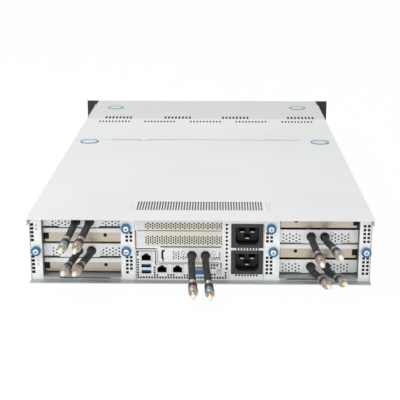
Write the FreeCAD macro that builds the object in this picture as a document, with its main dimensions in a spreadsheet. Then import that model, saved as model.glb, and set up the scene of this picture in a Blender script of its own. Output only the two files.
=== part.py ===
"""A 2U rack server with four liquid-cooled accelerator cards, as separate pieces.

Frame: millimetres, +Z up, origin under the middle of the whole server on the plane
that its floor rests on. The connectors face -Y, the rack ears and drives face +Y, and
+X is to the right for someone who stands at the connectors.
"""

import FreeCAD, Part
import math
import os

import Sketcher

Vector = FreeCAD.Vector
doc = FreeCAD.newDocument("rack_server")

SIZES = {
    # case
    "chassis_width": 437.0,
    "chassis_depth": 800.0,
    "chassis_height": 86.5,
    "sheet_gauge": 1.2,
    "cover_gauge": 1.2,
    "cover_side_gap": 0.3,
    "cover_lip": 10.0,
    "wall_hem": 6.0,
    "slip": 0.3,
    # distances from the rear edge of the covers towards the front
    "panel_setback": 12.0,
    "bracket_setback": 25.0,
    "seam_setback": 448.0,
    "seam_gap": 1.4,
    "joggle_setback": 620.0,
    "joggle_drop": 0.8,
    # rack ears and their rails
    "ear_span": 482.6,
    "ear_gauge": 2.5,
    "ear_leg": 42.0,
    "ear_handle_reach": 34.0,
    "ear_handle_bar": 8.0,
    "ear_handle_height": 58.0,
    "rack_hole_span": 465.1,
    "rack_hole_rise": 44.45,
    "rack_slot_length": 10.3,
    "rack_slot_width": 6.8,
    "rail_stud_radius": 4.5,
    "rail_stud_height": 3.0,
    # expansion slots and the two card cages
    "slot_pitch": 20.32,
    "slot_base": 6.0,
    "cage_left_edge": 83.8,
    "cage_right_edge": 81.8,
    "bay_inner": 101.6,
    "bay_outer": 203.0,
    "cage_length": 292.0,
    "cage_rail": 1.6,
    "ledge_height": 5.4,
    "ledge_depth": 14.0,
    "plate_height": 18.4,
    "plate_gauge": 1.0,
    "plate_lift": 0.8,
    "top_clearance": 1.0,
    "panel_hole": 3.0,
    "panel_hole_pitch": 5.2,
    # accelerator cards
    "card_length": 267.0,
    "card_width": 98.0,
    "card_board_gauge": 1.6,
    "cold_bar_height": 12.6,
    "cold_bar_gap": 1.4,
    "cold_bar_hole": 5.0,
    "riser_length": 240.0,
    # centre of the rear face
    "blank_left": 80.0,
    "blank_right": 27.6,
    "blank_gauge": 1.0,
    "plate_lap": 1.5,
    "loop_plate_left": 51.2,
    "loop_plate_right": 27.8,
    "loop_plate_base": 25.8,
    "loop_plate_height": 18.8,
    "loop_tray_length": 70.0,
    "strip_hole": 3.6,
    "strip_hole_pitch": 5.36,
    "jack_width": 15.4,
    "jack_height": 12.6,
    "jack_mouth_width": 12.0,
    "jack_mouth_height": 8.6,
    "jack_depth": 21.0,
    "usb_width": 13.4,
    "usb_height": 16.1,
    "usb_mouth_height": 4.8,
    "usb_wall": 0.6,
    "usb_depth": 17.0,
    "video_width": 17.0,
    "video_height": 8.4,
    "video_depth": 9.0,
    # mains inlets
    "inlet_left": 39.6,
    "inlet_width": 41.0,
    "inlet_height": 32.2,
    "inlet_base": 9.8,
    "inlet_pitch": 35.6,
    "inlet_depth": 46.0,
    "inlet_recess_width": 30.0,
    "inlet_recess_height": 23.4,
    "inlet_recess_depth": 18.0,
    "inlet_corner": 4.0,
    # cooling hoses
    "hose_diameter": 9.0,
    "boot_radius": 6.1,
    "boot_reach": 3.0,
    "boot_clearance": 0.15,
    "coupling_radius": 6.0,
    "coupling_length": 26.0,
    "cap_radius": 2.7,
    "tube_diameter": 9.0,
    # captive screws
    "thumb_radius": 6.2,
    "thumb_reach": 6.0,
    "thumb_core": 4.0,
    "cover_screw_radius": 15.5,
    "cover_screw_core": 9.4,
    "cover_screw_reach": 0.8,
    # electronics
    "board_height": 7.6,
    "board_gauge": 1.8,
    "board_half_width": 206.0,
    "board_shoulder": 312.0,
    "board_front": 532.0,
    "processor_offset": 104.0,
    "processor_setback": 420.0,
    "cold_plate_width": 80.0,
    "cold_plate_length": 112.0,
    "cold_plate_height": 20.0,
    "memory_length": 133.4,
    "memory_height": 31.3,
    "memory_gauge": 4.0,
    "memory_pitch": 8.0,
    # fans
    "fan_size": 80.0,
    "fan_depth": 38.0,
    "fan_pitch": 102.0,
    "fan_setback": 546.0,
    "fan_bore": 39.75,
    "fan_blade_radius": 37.4,
    "fan_hub_radius": 17.0,
    "fan_shaft_radius": 1.5,
    "fan_shaft_clearance": 0.05,
    # drives at the front
    "tray_width": 104.0,
    "tray_height": 27.0,
    "tray_length": 162.0,
    "tray_gap": 1.4,
    "tray_wall": 1.0,
    "drive_width": 101.0,
    "drive_height": 24.0,
    "drive_length": 146.0,
    "drive_block_left": -152.0,
    "drive_block_base": 2.7,
    "lever_depth": 6.0,
    "lever_height": 17.0,
    "lever_pin": 1.6,
    "lever_pin_clearance": 0.06,
    # power modules at the front
    "power_width": 73.5,
    "power_height": 39.6,
    "power_length": 188.0,
    "power_left": 62.0,
    "power_base": 2.4,
    "power_gap": 1.2,
    "power_handle_reach": 24.0,
    "power_handle_bar": 4.0,
    "latch_width": 9.0,
    "latch_height": 22.0,
    # front intake
    "intake_slot_width": 13.0,
    "intake_slot_pitch": 17.4,
    "button_radius": 4.0,
    "button_clearance": 0.25,
    "rear_button_radius": 1.9,
}

sheet = doc.addObject("Spreadsheet::Sheet", "sizes")
for row_number, (word, number) in enumerate(SIZES.items(), start=1):
    sheet.set(f"A{row_number}", word)
    sheet.set(f"B{row_number}", str(number))
    sheet.setAlias(f"B{row_number}", word)
doc.recompute()


class Size:
    """A length that knows its value and the expression over the sheet that gives it."""

    def __init__(self, text, value, bound=True):
        self.text = text
        self.value = value
        self.bound = bound

    def _join(self, sign, other, value, swapped=False):
        first, second = (other, self) if swapped else (self, other)
        return Size(f"({first.text} {sign} {second.text})", value, self.bound or other.bound)

    def __add__(self, other):
        other = size(other)
        return self._join("+", other, self.value + other.value)

    def __radd__(self, other):
        return size(other) + self

    def __sub__(self, other):
        other = size(other)
        return self._join("-", other, self.value - other.value)

    def __rsub__(self, other):
        return size(other) - self

    def __mul__(self, other):
        other = size(other)
        return self._join("*", other, self.value * other.value)

    def __rmul__(self, other):
        return self * other

    def __truediv__(self, other):
        other = size(other)
        return self._join("/", other, self.value / other.value)

    def __neg__(self):
        return Size(f"(0 - {self.text})", -self.value, self.bound)


def size(thing):
    """A Size from a Size or a plain number."""
    return thing if isinstance(thing, Size) else Size(f"({thing:.6f})", float(thing), bound=False)


class SheetSizes:
    """The cells of the sheet, as attributes."""

    def __getattr__(self, word):
        return Size(f"sizes.{word}", float(sheet.get(word)))


S = SheetSizes()

# Places that everything else is measured from.
REAR = -(S.chassis_depth + S.ear_handle_reach) / 2
FRONT = REAR + S.chassis_depth
PANEL = REAR + S.panel_setback
BRACKET = REAR + S.bracket_setback
SEAM = REAR + S.seam_setback
HALF = S.chassis_width / 2
INNER_HALF = HALF - S.sheet_gauge
WALL_TOP = S.chassis_height - S.cover_gauge
FLOOR = S.sheet_gauge
PANEL_TOP = WALL_TOP - 0.3
LEFT, RIGHT = -1, 1


def bind(thing, name, length):
    """Set a property from a size: as an expression where the size comes from the sheet."""
    length = size(length)
    if length.bound:
        thing.setExpression(name, length.text)
        return
    if "." not in name:
        setattr(thing, name, length.value)
    else:
        thing.setExpression(name, length.text)


# ---------------------------------------------------------------- modelling helpers

NODES = {}


def node(thing, name):
    """Give a finished sub-part its label, which is also its file's name."""
    thing.Label = name
    NODES[name] = thing
    return thing


def new_body(name):
    return doc.addObject("PartDesign::Body", name)


def origin_feature(body, role):
    return next(f for f in body.Origin.OriginFeatures if f.Role == role)


def sketch(body, plane, at, loops=(), discs=()):
    """A sketch parallel to an origin plane, at a place along its axis.

    A loop is a list of (across, up) corners and a disc is (across, up, radius). On the XZ
    plane across is X and up is Z, on YZ across is Y and up is Z, and on XY they are X and Y.
    """
    drawn = body.newObject("Sketcher::SketchObject", f"{body.Name}_sketch")
    drawn.AttachmentSupport = (origin_feature(body, f"{plane}_Plane"), [""])
    drawn.MapMode = "FlatFace"
    bind(drawn, "AttachmentOffset.Base.z", -size(at) if plane == "XZ" else at)
    named = 0

    def pin(kind, length, element, point):
        nonlocal named
        length = size(length)
        index = drawn.addConstraint(
            Sketcher.Constraint(kind, -1, 1, element, point, length.value)
        )
        if length.bound:
            drawn.renameConstraint(index, f"place{named}")
            drawn.setExpression(f"Constraints.place{named}", length.text)
            named += 1

    for loop in loops:
        first = drawn.GeometryCount
        corners = [Vector(size(a).value, size(u).value, 0) for a, u in loop]
        count = len(corners)
        for n in range(count):
            drawn.addGeometry(Part.LineSegment(corners[n], corners[(n + 1) % count]))
        for n in range(count):
            joint = Sketcher.Constraint("Coincident", first + n, 2, first + (n + 1) % count, 1)
            drawn.addConstraint(joint)
        for n, (across, up) in enumerate(loop):
            pin("DistanceX", across, first + n, 1)
            pin("DistanceY", up, first + n, 1)
    for across, up, radius in discs:
        centre = Vector(size(across).value, size(up).value, 0)
        ring = drawn.addGeometry(Part.Circle(centre, Vector(0, 0, 1), size(radius).value))
        pin("DistanceX", across, ring, 3)
        pin("DistanceY", up, ring, 3)
        index = drawn.addConstraint(Sketcher.Constraint("Radius", ring, size(radius).value))
        if size(radius).bound:
            drawn.renameConstraint(index, f"place{named}")
            drawn.setExpression(f"Constraints.place{named}", size(radius).text)
            named += 1
    drawn.Visibility = False
    return drawn


def rectangle(across_low, up_low, across_high, up_high):
    return [
        (across_low, up_low),
        (across_high, up_low),
        (across_high, up_high),
        (across_low, up_high),
    ]


def regular(across, up, radius, corners):
    """A regular polygon, with a flat side facing down."""
    step = 2 * math.pi / corners
    turned = [step * (n + 0.5) - math.pi / 2 for n in range(corners)]
    return [(across + radius * math.cos(a), up + radius * math.sin(a)) for a in turned]


def clear_bore(across, up, radius):
    """An eight-sided bore that a round pin of a radius turns in."""
    return regular(across, up, radius / math.cos(math.pi / 8), 8)


def oblong(across, up, width, height):
    """A rectangle about its middle."""
    half_width = size(width) / 2
    half_height = size(height) / 2
    return rectangle(across - half_width, up - half_height, across + half_width, up + half_height)


def pad(body, drawn, length, plane, forward=True, both=False):
    """Thicken a sketch along its plane's axis: forward is towards plus X, Y or Z."""
    made = body.newObject("PartDesign::Pad", f"{body.Name}_pad")
    made.Profile = drawn
    bind(made, "Length", length)
    made.Reversed = (plane == "XZ") == forward
    made.Midplane = both
    return made


def pocket(body, drawn, length, plane, forward=True, both=False):
    """Cut a sketch out, towards plus X, Y or Z where forward, or evenly to both sides."""
    made = body.newObject("PartDesign::Pocket", f"{body.Name}_pocket")
    made.Profile = drawn
    made.Refine = False
    bind(made, "Length", length)
    made.Reversed = (plane != "XZ") == forward
    made.Midplane = both
    return made


def pierce(body, plane, at, loops=(), discs=(), depth=8.0):
    """Cut straight through a thin wall that lies at a place on the plane's axis."""
    return pocket(body, sketch(body, plane, at, loops, discs), depth, plane, both=True)


def slab(body, plane, at, loops, thickness, forward=True, discs=()):
    """Add a plate of a given thickness with the given outline."""
    return pad(body, sketch(body, plane, at, loops, discs), thickness, plane, forward)


def grid(body, feature, axis, pitch, count, axis_2=None, pitch_2=None, count_2=1):
    """Repeat the last feature in a line, or in rows and columns."""
    made = body.newObject("PartDesign::LinearPattern", f"{body.Name}_rows")
    made.Refine = False
    made.Originals = [feature]
    made.Direction = (origin_feature(body, f"{axis}_Axis"), [""])
    made.Mode = "Spacing"
    bind(made, "Offset", pitch)
    made.Occurrences = count
    if axis_2:
        made.Direction2 = (origin_feature(body, f"{axis_2}_Axis"), [""])
        made.Mode2 = "Spacing"
        bind(made, "Offset2", pitch_2)
        made.Occurrences2 = count_2
    body.Tip = made
    return made


def block(name, x, y, z, width, depth, height):
    """A plain block from its low corner."""
    made = doc.addObject("Part::Box", name)
    bind(made, "Length", width)
    bind(made, "Width", depth)
    bind(made, "Height", height)
    for axis, place in zip("xyz", (x, y, z)):
        bind(made, f"Placement.Base.{axis}", place)
    return made


def cut(name, base, *tools):
    if len(tools) > 1:
        tools = [join(f"{name}_tools", *tools)]
    made = doc.addObject("Part::Cut", name)
    made.Base = base
    made.Tool = tools[0]
    return made


def join(name, *pieces):
    made = doc.addObject("Part::MultiFuse", name)
    made.Shapes = list(pieces)
    made.Refine = True
    return made


def group(name, *pieces):
    """Separate solids that share a node."""
    made = doc.addObject("Part::Compound", name)
    made.Links = list(pieces)
    return made


def copies(name, source, placements):
    """Identical pieces that share a node: one solid for each placement of the source."""
    doc.recompute()
    made = doc.addObject("Part::Feature", name)
    shapes = []
    for placement in placements:
        shape = source.Shape.copy()
        shape.Placement = placement.multiply(shape.Placement)
        shapes.append(shape)
    made.Shape = Part.makeCompound(shapes)
    return made


def at(x, y, z, rotation=None):
    """A placement from sizes."""
    place = Vector(size(x).value, size(y).value, size(z).value)
    return FreeCAD.Placement(place, rotation or FreeCAD.Rotation())


def clear_of_hems(low, high, wall_top):
    """A plate between the walls, notched at its top corners around their turned-in hems."""
    half = INNER_HALF - 0.2
    hem = HALF - S.wall_hem - 0.3
    under = wall_top - S.sheet_gauge - 0.2
    right = [(half, low), (half, under), (hem, under), (hem, high)]
    return right + [(-across, up) for across, up in reversed(right)]


def slot_floor(number):
    """The underside of an expansion slot, counted up from the lowest."""
    return S.slot_base + S.slot_pitch * number


# ------------------------------------------------------------------------- the case


def chassis_tray():
    """The folded tray: floor, two walls with hems turned in, and studs for the slide rails."""
    body = new_body("tray")
    inner = INNER_HALF
    hem = HALF - S.wall_hem
    # the walls are a little lower in front of the joggle, as the cover on them is
    rear_length = S.joggle_setback
    low_top = WALL_TOP - S.joggle_drop
    for start, length, top in (
        (REAR, rear_length, WALL_TOP),
        (REAR + rear_length, S.chassis_depth - rear_length, low_top),
    ):
        hem_floor = top - S.sheet_gauge
        right = [(HALF, 0), (HALF, top), (hem, top), (hem, hem_floor), (inner, hem_floor)]
        profile = right + [(inner, FLOOR), (-inner, FLOOR), (-inner, hem_floor)]
        profile += [(-hem, hem_floor), (-hem, top), (-HALF, top), (-HALF, 0)]
        slab(body, "XZ", start, [profile], length)
    clear = rectangle(REAR - 1, FLOOR, PANEL, S.chassis_height)
    pocket(body, sketch(body, "YZ", 0, [clear]), S.chassis_width + 10, "YZ", both=True)
    # the floor is pressed up a little under each card bay, for stiffness
    for side in (LEFT, RIGHT):
        middle = side * (S.bay_inner + S.bay_outer) / 2
        press = oblong(middle, PANEL + 24, 62, 7)
        slab(body, "XY", FLOOR, [press], 1.0)
    # shoulder studs that the slide rails hook onto
    for side in (LEFT, RIGHT):
        foot = sketch(body, "YZ", side * (HALF - 0.5), discs=[(REAR + 90, 43.0, S.rail_stud_radius)])
        stud = pad(body, foot, S.rail_stud_height + 0.5, "YZ", forward=side == RIGHT)
        grid(body, stud, "Y", 280.0, 3)
    return node(body, "chassis_tray")


def vent_fields(body, height, centres, setback, slot, pitch, count):
    """Fields of slots side by side across a cover, one about each centre, all in one line."""
    width, length = slot
    start = size(pitch) * (count - 1) / -2
    y = REAR + setback
    openings = []
    for centre in centres:
        middle = start + centre
        openings.append(rectangle(middle - width / 2, y, middle + width / 2, y + length))
    grid(body, pierce(body, "XY", height, openings), "X", pitch, count)


def cover_screw_holes(body, from_middle, setback):
    """The two holes that a cover's captive screws are held in."""
    holes = [regular(x, REAR + setback, S.cover_screw_core, 8) for x in (-from_middle, from_middle)]
    pierce(body, "XY", WALL_TOP, holes)


REAR_SCREW_X = 192.0
REAR_SCREW_SETBACK = 431.0
FRONT_SCREW_X = 177.0
FRONT_SCREW_SETBACK = 728.0
TAB_CENTRES = (-103.0, 93.5)
TAB_WIDTH = 13.0
TAB_DEPTH = 5.0


def cover_lips(body, start, length):
    """The folded-down sides of a cover, outside the tray's walls."""
    inner = HALF + S.cover_side_gap
    outer = inner + S.cover_gauge
    for side in (LEFT, RIGHT):
        lip = rectangle(side * inner, S.chassis_height - S.cover_lip, side * outer, S.chassis_height)
        slab(body, "XZ", start, [lip], length)


def rear_cover():
    """The cover over the cards, with its exhaust grille."""
    body = new_body("rear_cover_body")
    outer = HALF + S.cover_side_gap + S.cover_gauge
    sheet_top = S.chassis_height
    sheet_low = WALL_TOP
    front_edge = SEAM - S.seam_gap / 2
    outline = [(-outer, REAR), (outer, REAR), (outer, front_edge), (-outer, front_edge)]
    slab(body, "XY", sheet_low, [outline], S.cover_gauge)
    cover_lips(body, REAR + 1.0, S.seam_setback - S.seam_gap / 2 - 1.0)
    for centre in TAB_CENTRES:
        notch = oblong(centre, front_edge, TAB_WIDTH + 2, 2 * TAB_DEPTH + 2)
        pierce(body, "XY", sheet_top, [notch])
    vent_fields(body, sheet_top, [-1.5], 41.0, (1.9, 39.0), 3.6, 46)
    cover_screw_holes(body, size(REAR_SCREW_X), REAR_SCREW_SETBACK)
    return node(body, "rear_cover")


def front_cover():
    """The cover over boards, fans and drives: it steps down over the drives."""
    body = new_body("front_cover_body")
    outer = HALF + S.cover_side_gap + S.cover_gauge
    top = S.chassis_height
    low = WALL_TOP
    start = SEAM + S.seam_gap / 2
    step = REAR + S.joggle_setback
    drop = S.joggle_drop
    side_view = [
        (start, low),
        (step, low),
        (step + drop, low - drop),
        (FRONT, low - drop),
        (FRONT, top - drop),
        (step + drop, top - drop),
        (step, top),
        (start, top),
    ]
    drawn = sketch(body, "YZ", 0, [side_view])
    pad(body, drawn, outer * 2, "YZ", both=True)
    cover_lips(body, start, FRONT - start - S.ear_leg - 1.0)
    for centre in TAB_CENTRES:
        tab = oblong(centre, start, TAB_WIDTH, 2 * TAB_DEPTH)
        slab(body, "XY", low, [tab], S.cover_gauge)
    # clear of the ears, whose legs lie along the walls
    for side in (LEFT, RIGHT):
        relief = rectangle(
            side * (HALF - 0.4), FRONT - S.ear_leg - 1.0, side * (outer + 1), FRONT + 1
        )
        pierce(body, "XY", top - S.cover_lip / 2, [relief], depth=S.cover_lip + 12)
    vent_fields(body, top, (-162.5, -52.5, 54.5, 175.5), 622.0, (3.4, 22.0), 6.5, 8)
    vent_fields(body, top, (-166.5, -84.0, -0.5, 82.5, 166.0), 588.0, (2.8, 14.0), 5.9, 10)
    cover_screw_holes(body, size(FRONT_SCREW_X), FRONT_SCREW_SETBACK)
    return node(body, "front_cover")


def screw_template(name, radius, reach, core, below):
    """A captive screw about the Z axis: a grip ring, a raised head and a shank below."""
    body = new_body(name)
    slab(body, "XY", 0, [regular(0, 0, radius, 12)], reach)
    slab(body, "XY", 0, [regular(0, 0, core, 8)], size(reach) + 0.6)
    if below:
        slab(body, "XY", 0, [regular(0, 0, core - 0.1, 8)], below, forward=False)
    return body


THUMB_PLACES = (
    (-210.6, 40.2),
    (-94.4, 71.2),
    (-94.4, 40.4),
    (90.6, 71.6),
    (93.4, 40.6),
    (212.0, 40.8),
)


def cage_thumbscrews():
    """The six captive thumbscrews that hold the card cages to the rear face."""
    template = screw_template("thumb_template", S.thumb_radius, S.thumb_reach, S.thumb_core, 0)
    facing_rear = FreeCAD.Rotation(Vector(1, 0, 0), 90)
    places = [at(x, PANEL, z, facing_rear) for x, z in THUMB_PLACES]
    return node(copies("thumbscrews", template, places), "cage_thumbscrews")


def cover_screws():
    """The captive screws of both covers, each through its hole with its ring on the cover."""
    template = screw_template(
        "cover_screw_template",
        S.cover_screw_radius,
        S.cover_screw_reach,
        S.cover_screw_core,
        S.cover_gauge + 2.0,
    )
    for name, x, setback in (
        ("rear_cover_screws", REAR_SCREW_X, REAR_SCREW_SETBACK),
        ("front_cover_screws", FRONT_SCREW_X, FRONT_SCREW_SETBACK),
    ):
        drop = S.joggle_drop if name.startswith("front") else size(0)
        places = [at(side * x, REAR + setback, S.chassis_height - drop) for side in (LEFT, RIGHT)]
        node(copies(f"{name}_pair", template, places), name)


def rack_ears():
    """Two ears that bolt to the walls, with slots for the rack's posts and pull handles."""
    body = new_body("right_ear")
    outer = S.ear_span / 2
    leg_inner = HALF
    leg_outer = HALF + S.ear_gauge
    low = 0.5
    high = S.chassis_height - 0.5
    angle = [
        (leg_inner, FRONT - S.ear_leg),
        (leg_outer, FRONT - S.ear_leg),
        (leg_outer, FRONT - S.ear_gauge),
        (outer, FRONT - S.ear_gauge),
        (outer, FRONT),
        (leg_inner, FRONT),
    ]
    slab(body, "XY", low, [angle], high - low)
    # slotted holes on the rack's own hole pitch
    middle = S.chassis_height / 2
    hole_x = S.rack_hole_span / 2
    reach = (S.rack_slot_length - S.rack_slot_width) / 2
    bore = S.rack_slot_width / 2
    for side in (LEFT, RIGHT):
        z = middle + side * S.rack_hole_rise / 2
        face = FRONT - S.ear_gauge / 2
        pierce(body, "XZ", face, [oblong(hole_x, z, reach * 2, S.rack_slot_width)])
        pierce(body, "XZ", face, discs=[(hole_x - reach, z, bore)])
        pierce(body, "XZ", face, discs=[(hole_x + reach, z, bore)])
    # a bent bar for a handle
    bar = S.ear_handle_bar
    grip = HALF + bar / 2 + 0.6
    half_height = S.ear_handle_height / 2
    bow = [
        (FRONT - 1.0, middle - half_height),
        (FRONT + S.ear_handle_reach - bar * 0.75, middle - half_height),
        (FRONT + S.ear_handle_reach, middle - half_height + bar * 0.75),
        (FRONT + S.ear_handle_reach, middle + half_height - bar * 0.75),
        (FRONT + S.ear_handle_reach - bar * 0.75, middle + half_height),
        (FRONT - 1.0, middle + half_height),
        (FRONT - 1.0, middle + half_height - bar),
        (FRONT + S.ear_handle_reach - bar * 1.1, middle + half_height - bar),
        (FRONT + S.ear_handle_reach - bar, middle + half_height - bar * 1.1),
        (FRONT + S.ear_handle_reach - bar, middle - half_height + bar * 1.1),
        (FRONT + S.ear_handle_reach - bar * 1.1, middle - half_height + bar),
        (FRONT - 1.0, middle - half_height + bar),
    ]
    drawn = sketch(body, "YZ", grip, [bow])
    pad(body, drawn, bar, "YZ", both=True)
    left = doc.addObject("Part::Mirroring", "left_ear")
    left.Source = body
    left.Normal = Vector(1, 0, 0)
    # the power button has its bore in the left ear
    bore = new_body("button_bore")
    opening = regular(BUTTON_X, BUTTON_Z, S.button_radius + S.button_clearance, 12)
    slab(bore, "XZ", FRONT - 10, [opening], 20)
    bored = cut("left_ear_bored", left, bore)
    return node(group("ears", bored, body), "rack_ears")


BUTTON_X = -(S.ear_span / 2 - 9.0)
BUTTON_Z = S.chassis_height / 2


def button(name, radius, stem, flange):
    """A push button about the Z axis: its cap stands out and a flange keeps it in."""
    body = new_body(name)
    slab(body, "XY", -stem, [regular(0, 0, radius, 12)], stem + 1.6)
    slab(body, "XY", -stem - 2.0, [regular(0, 0, radius + flange, 12)], 2.0)
    return body


def power_button():
    """The power button, in the left ear."""
    body = button("power_button_body", S.button_radius, S.ear_gauge + 1.7, 1.6)
    body.Placement = at(BUTTON_X, FRONT, BUTTON_Z, FreeCAD.Rotation(Vector(1, 0, 0), -90))
    return node(body, "power_button")


# --------------------------------------------------------------- the rear of the case


def hole_columns(body, places, rows, columns, step):
    """Square holes in rows up a plate of the rear face, from each lowest left hole."""
    loops = [oblong(size(x), size(z), S.panel_hole, S.panel_hole) for x, z in places]
    first = pierce(body, "XZ", PANEL, loops)
    if rows == 1:
        return grid(body, first, "X", step, columns)
    return grid(body, first, "Z", S.panel_hole_pitch, rows, "X", step, columns)


LEDGE_SLOTS = {LEFT: (0, 2), RIGHT: (1, 3)}
PLATE_SLOTS = {LEFT: (1, 3), RIGHT: (0, 2)}


def card_cage(side):
    """A cage of folded sheet for two cards: rear flange, walls, shelves and cross wall."""
    name = "left_card_cage" if side == LEFT else "right_card_cage"
    body = new_body(f"{name}_body")
    edge = S.cage_left_edge if side == LEFT else S.cage_right_edge
    outer = side * (INNER_HALF - 0.2)
    hem = side * (HALF - S.wall_hem - 0.3)
    under = WALL_TOP - S.sheet_gauge - 0.2
    flange = [(side * edge, FLOOR), (outer, FLOOR), (outer, under), (hem, under)]
    flange += [(hem, PANEL_TOP), (side * edge, PANEL_TOP)]
    window_base = slot_floor(0) - 1.4
    window = rectangle(side * S.bay_inner, window_base, side * S.bay_outer, PANEL_TOP - S.cage_rail)
    slab(body, "XZ", PANEL, [flange, window], S.sheet_gauge)
    gauge = S.sheet_gauge
    hem_clear = WALL_TOP - S.sheet_gauge - 0.4
    for inner_x, outer_x in (
        (S.bay_inner - gauge, S.bay_inner),
        (S.bay_outer, S.bay_outer + gauge),
    ):
        wall = rectangle(side * inner_x, FLOOR, side * outer_x, hem_clear)
        slab(body, "XZ", PANEL, [wall], S.cage_length)
    # the far cross wall is open in the middle for air
    span = rectangle(
        side * (S.bay_inner - gauge), FLOOR, side * (S.bay_outer + gauge), hem_clear
    )
    middle = (S.bay_inner + S.bay_outer) / 2
    air = oblong(side * middle, hem_clear / 2, 76, hem_clear - 26)
    slab(body, "XZ", PANEL + S.cage_length - gauge, [span, air], gauge)
    # a shelf with a folded lip over each cold plate's end
    for slot in LEDGE_SLOTS[side]:
        lip_top = slot_floor(slot) + S.slot_pitch - 0.5
        if slot == 3:
            lip_top = hem_clear - 0.2
        lip = rectangle(
            side * S.bay_inner, lip_top - S.ledge_height, side * S.bay_outer, lip_top
        )
        slab(body, "XZ", BRACKET - 1.0, [lip], 1.0)
        shelf = rectangle(side * S.bay_inner, lip_top - 1.0, side * S.bay_outer, lip_top)
        slab(body, "XZ", BRACKET - 1.0, [shelf], S.ledge_depth)
    # ventilation holes beside the thumbscrews
    step = S.panel_hole_pitch
    outer_column = -214.4 if side == LEFT else 209.2
    mid_column = -93.8 if side == LEFT else 85.8
    lower = [(outer_column, 11.2), (mid_column, 11.2)]
    hole_columns(body, lower, 5, 2, step)
    hole_columns(body, [(outer_column, 64.8)], 3, 2, step)
    hole_columns(body, [(outer_column, 54.4), (mid_column, 54.4)], 2, 2, step)
    hole_columns(body, [(mid_column, 64.8)], 1, 2, step)
    return node(body, name)


HOSE_EXITS = {
    # hose name: side, slot, distance from the middle plane
    "a": (-160.5, 3),
    "b": (-142.5, 3),
    "c": (-158.0, 1),
    "d": (-141.0, 1),
    "e": (142.5, 2),
    "f": (160.0, 2),
    "g": (143.0, 0),
    "h": (162.5, 0),
}
LOOP_EXITS = {"i": -10.7, "j": 6.8}
LOOP_HEIGHT = S.loop_plate_base + S.loop_plate_height / 2 + 0.2
LOOP_FACE = PANEL - S.sheet_gauge


def bracket_span(slot):
    """The lower and upper edges of a slot's plate: the highest is cut short by the cover."""
    low = slot_floor(slot) + S.plate_lift
    high = low + S.plate_height
    if slot == 3:
        high = WALL_TOP - S.sheet_gauge - S.top_clearance
    return low, high


def exit_height(slot):
    """The height that hoses leave a slot at: the middle of its plate."""
    low, high = bracket_span(slot)
    return (low + high) / 2


def boot_hole(x, z):
    """The hole of a plate that a hose boot sits in."""
    return regular(size(x), z, S.boot_radius + S.boot_clearance, 10)


def card_brackets():
    """The four slot plates that the cards' hoses come out through."""
    plates = []
    for side in (LEFT, RIGHT):
        for slot in PLATE_SLOTS[side]:
            body = new_body(f"bracket_{'left' if side == LEFT else 'right'}_{slot}")
            low, high = bracket_span(slot)
            inner = S.bay_inner
            outer = S.bay_outer - 0.3
            # the lower edge steps down between its two ends
            step = 1.8
            plate = [
                (side * inner, low + step),
                (side * (inner + 28), low + step),
                (side * (inner + 30), low),
                (side * (inner + 80), low),
                (side * (inner + 82), low + step),
                (side * outer, low + step),
                (side * outer, high),
                (side * inner, high),
            ]
            slab(body, "XZ", BRACKET, [plate], S.plate_gauge)
            for x, exit_slot in HOSE_EXITS.values():
                if exit_slot == slot and x * side > 0:
                    pierce(body, "XZ", BRACKET, [boot_hole(x, exit_height(slot))])
            plates.append(body)
    return node(group("brackets", *plates), "card_brackets")


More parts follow.
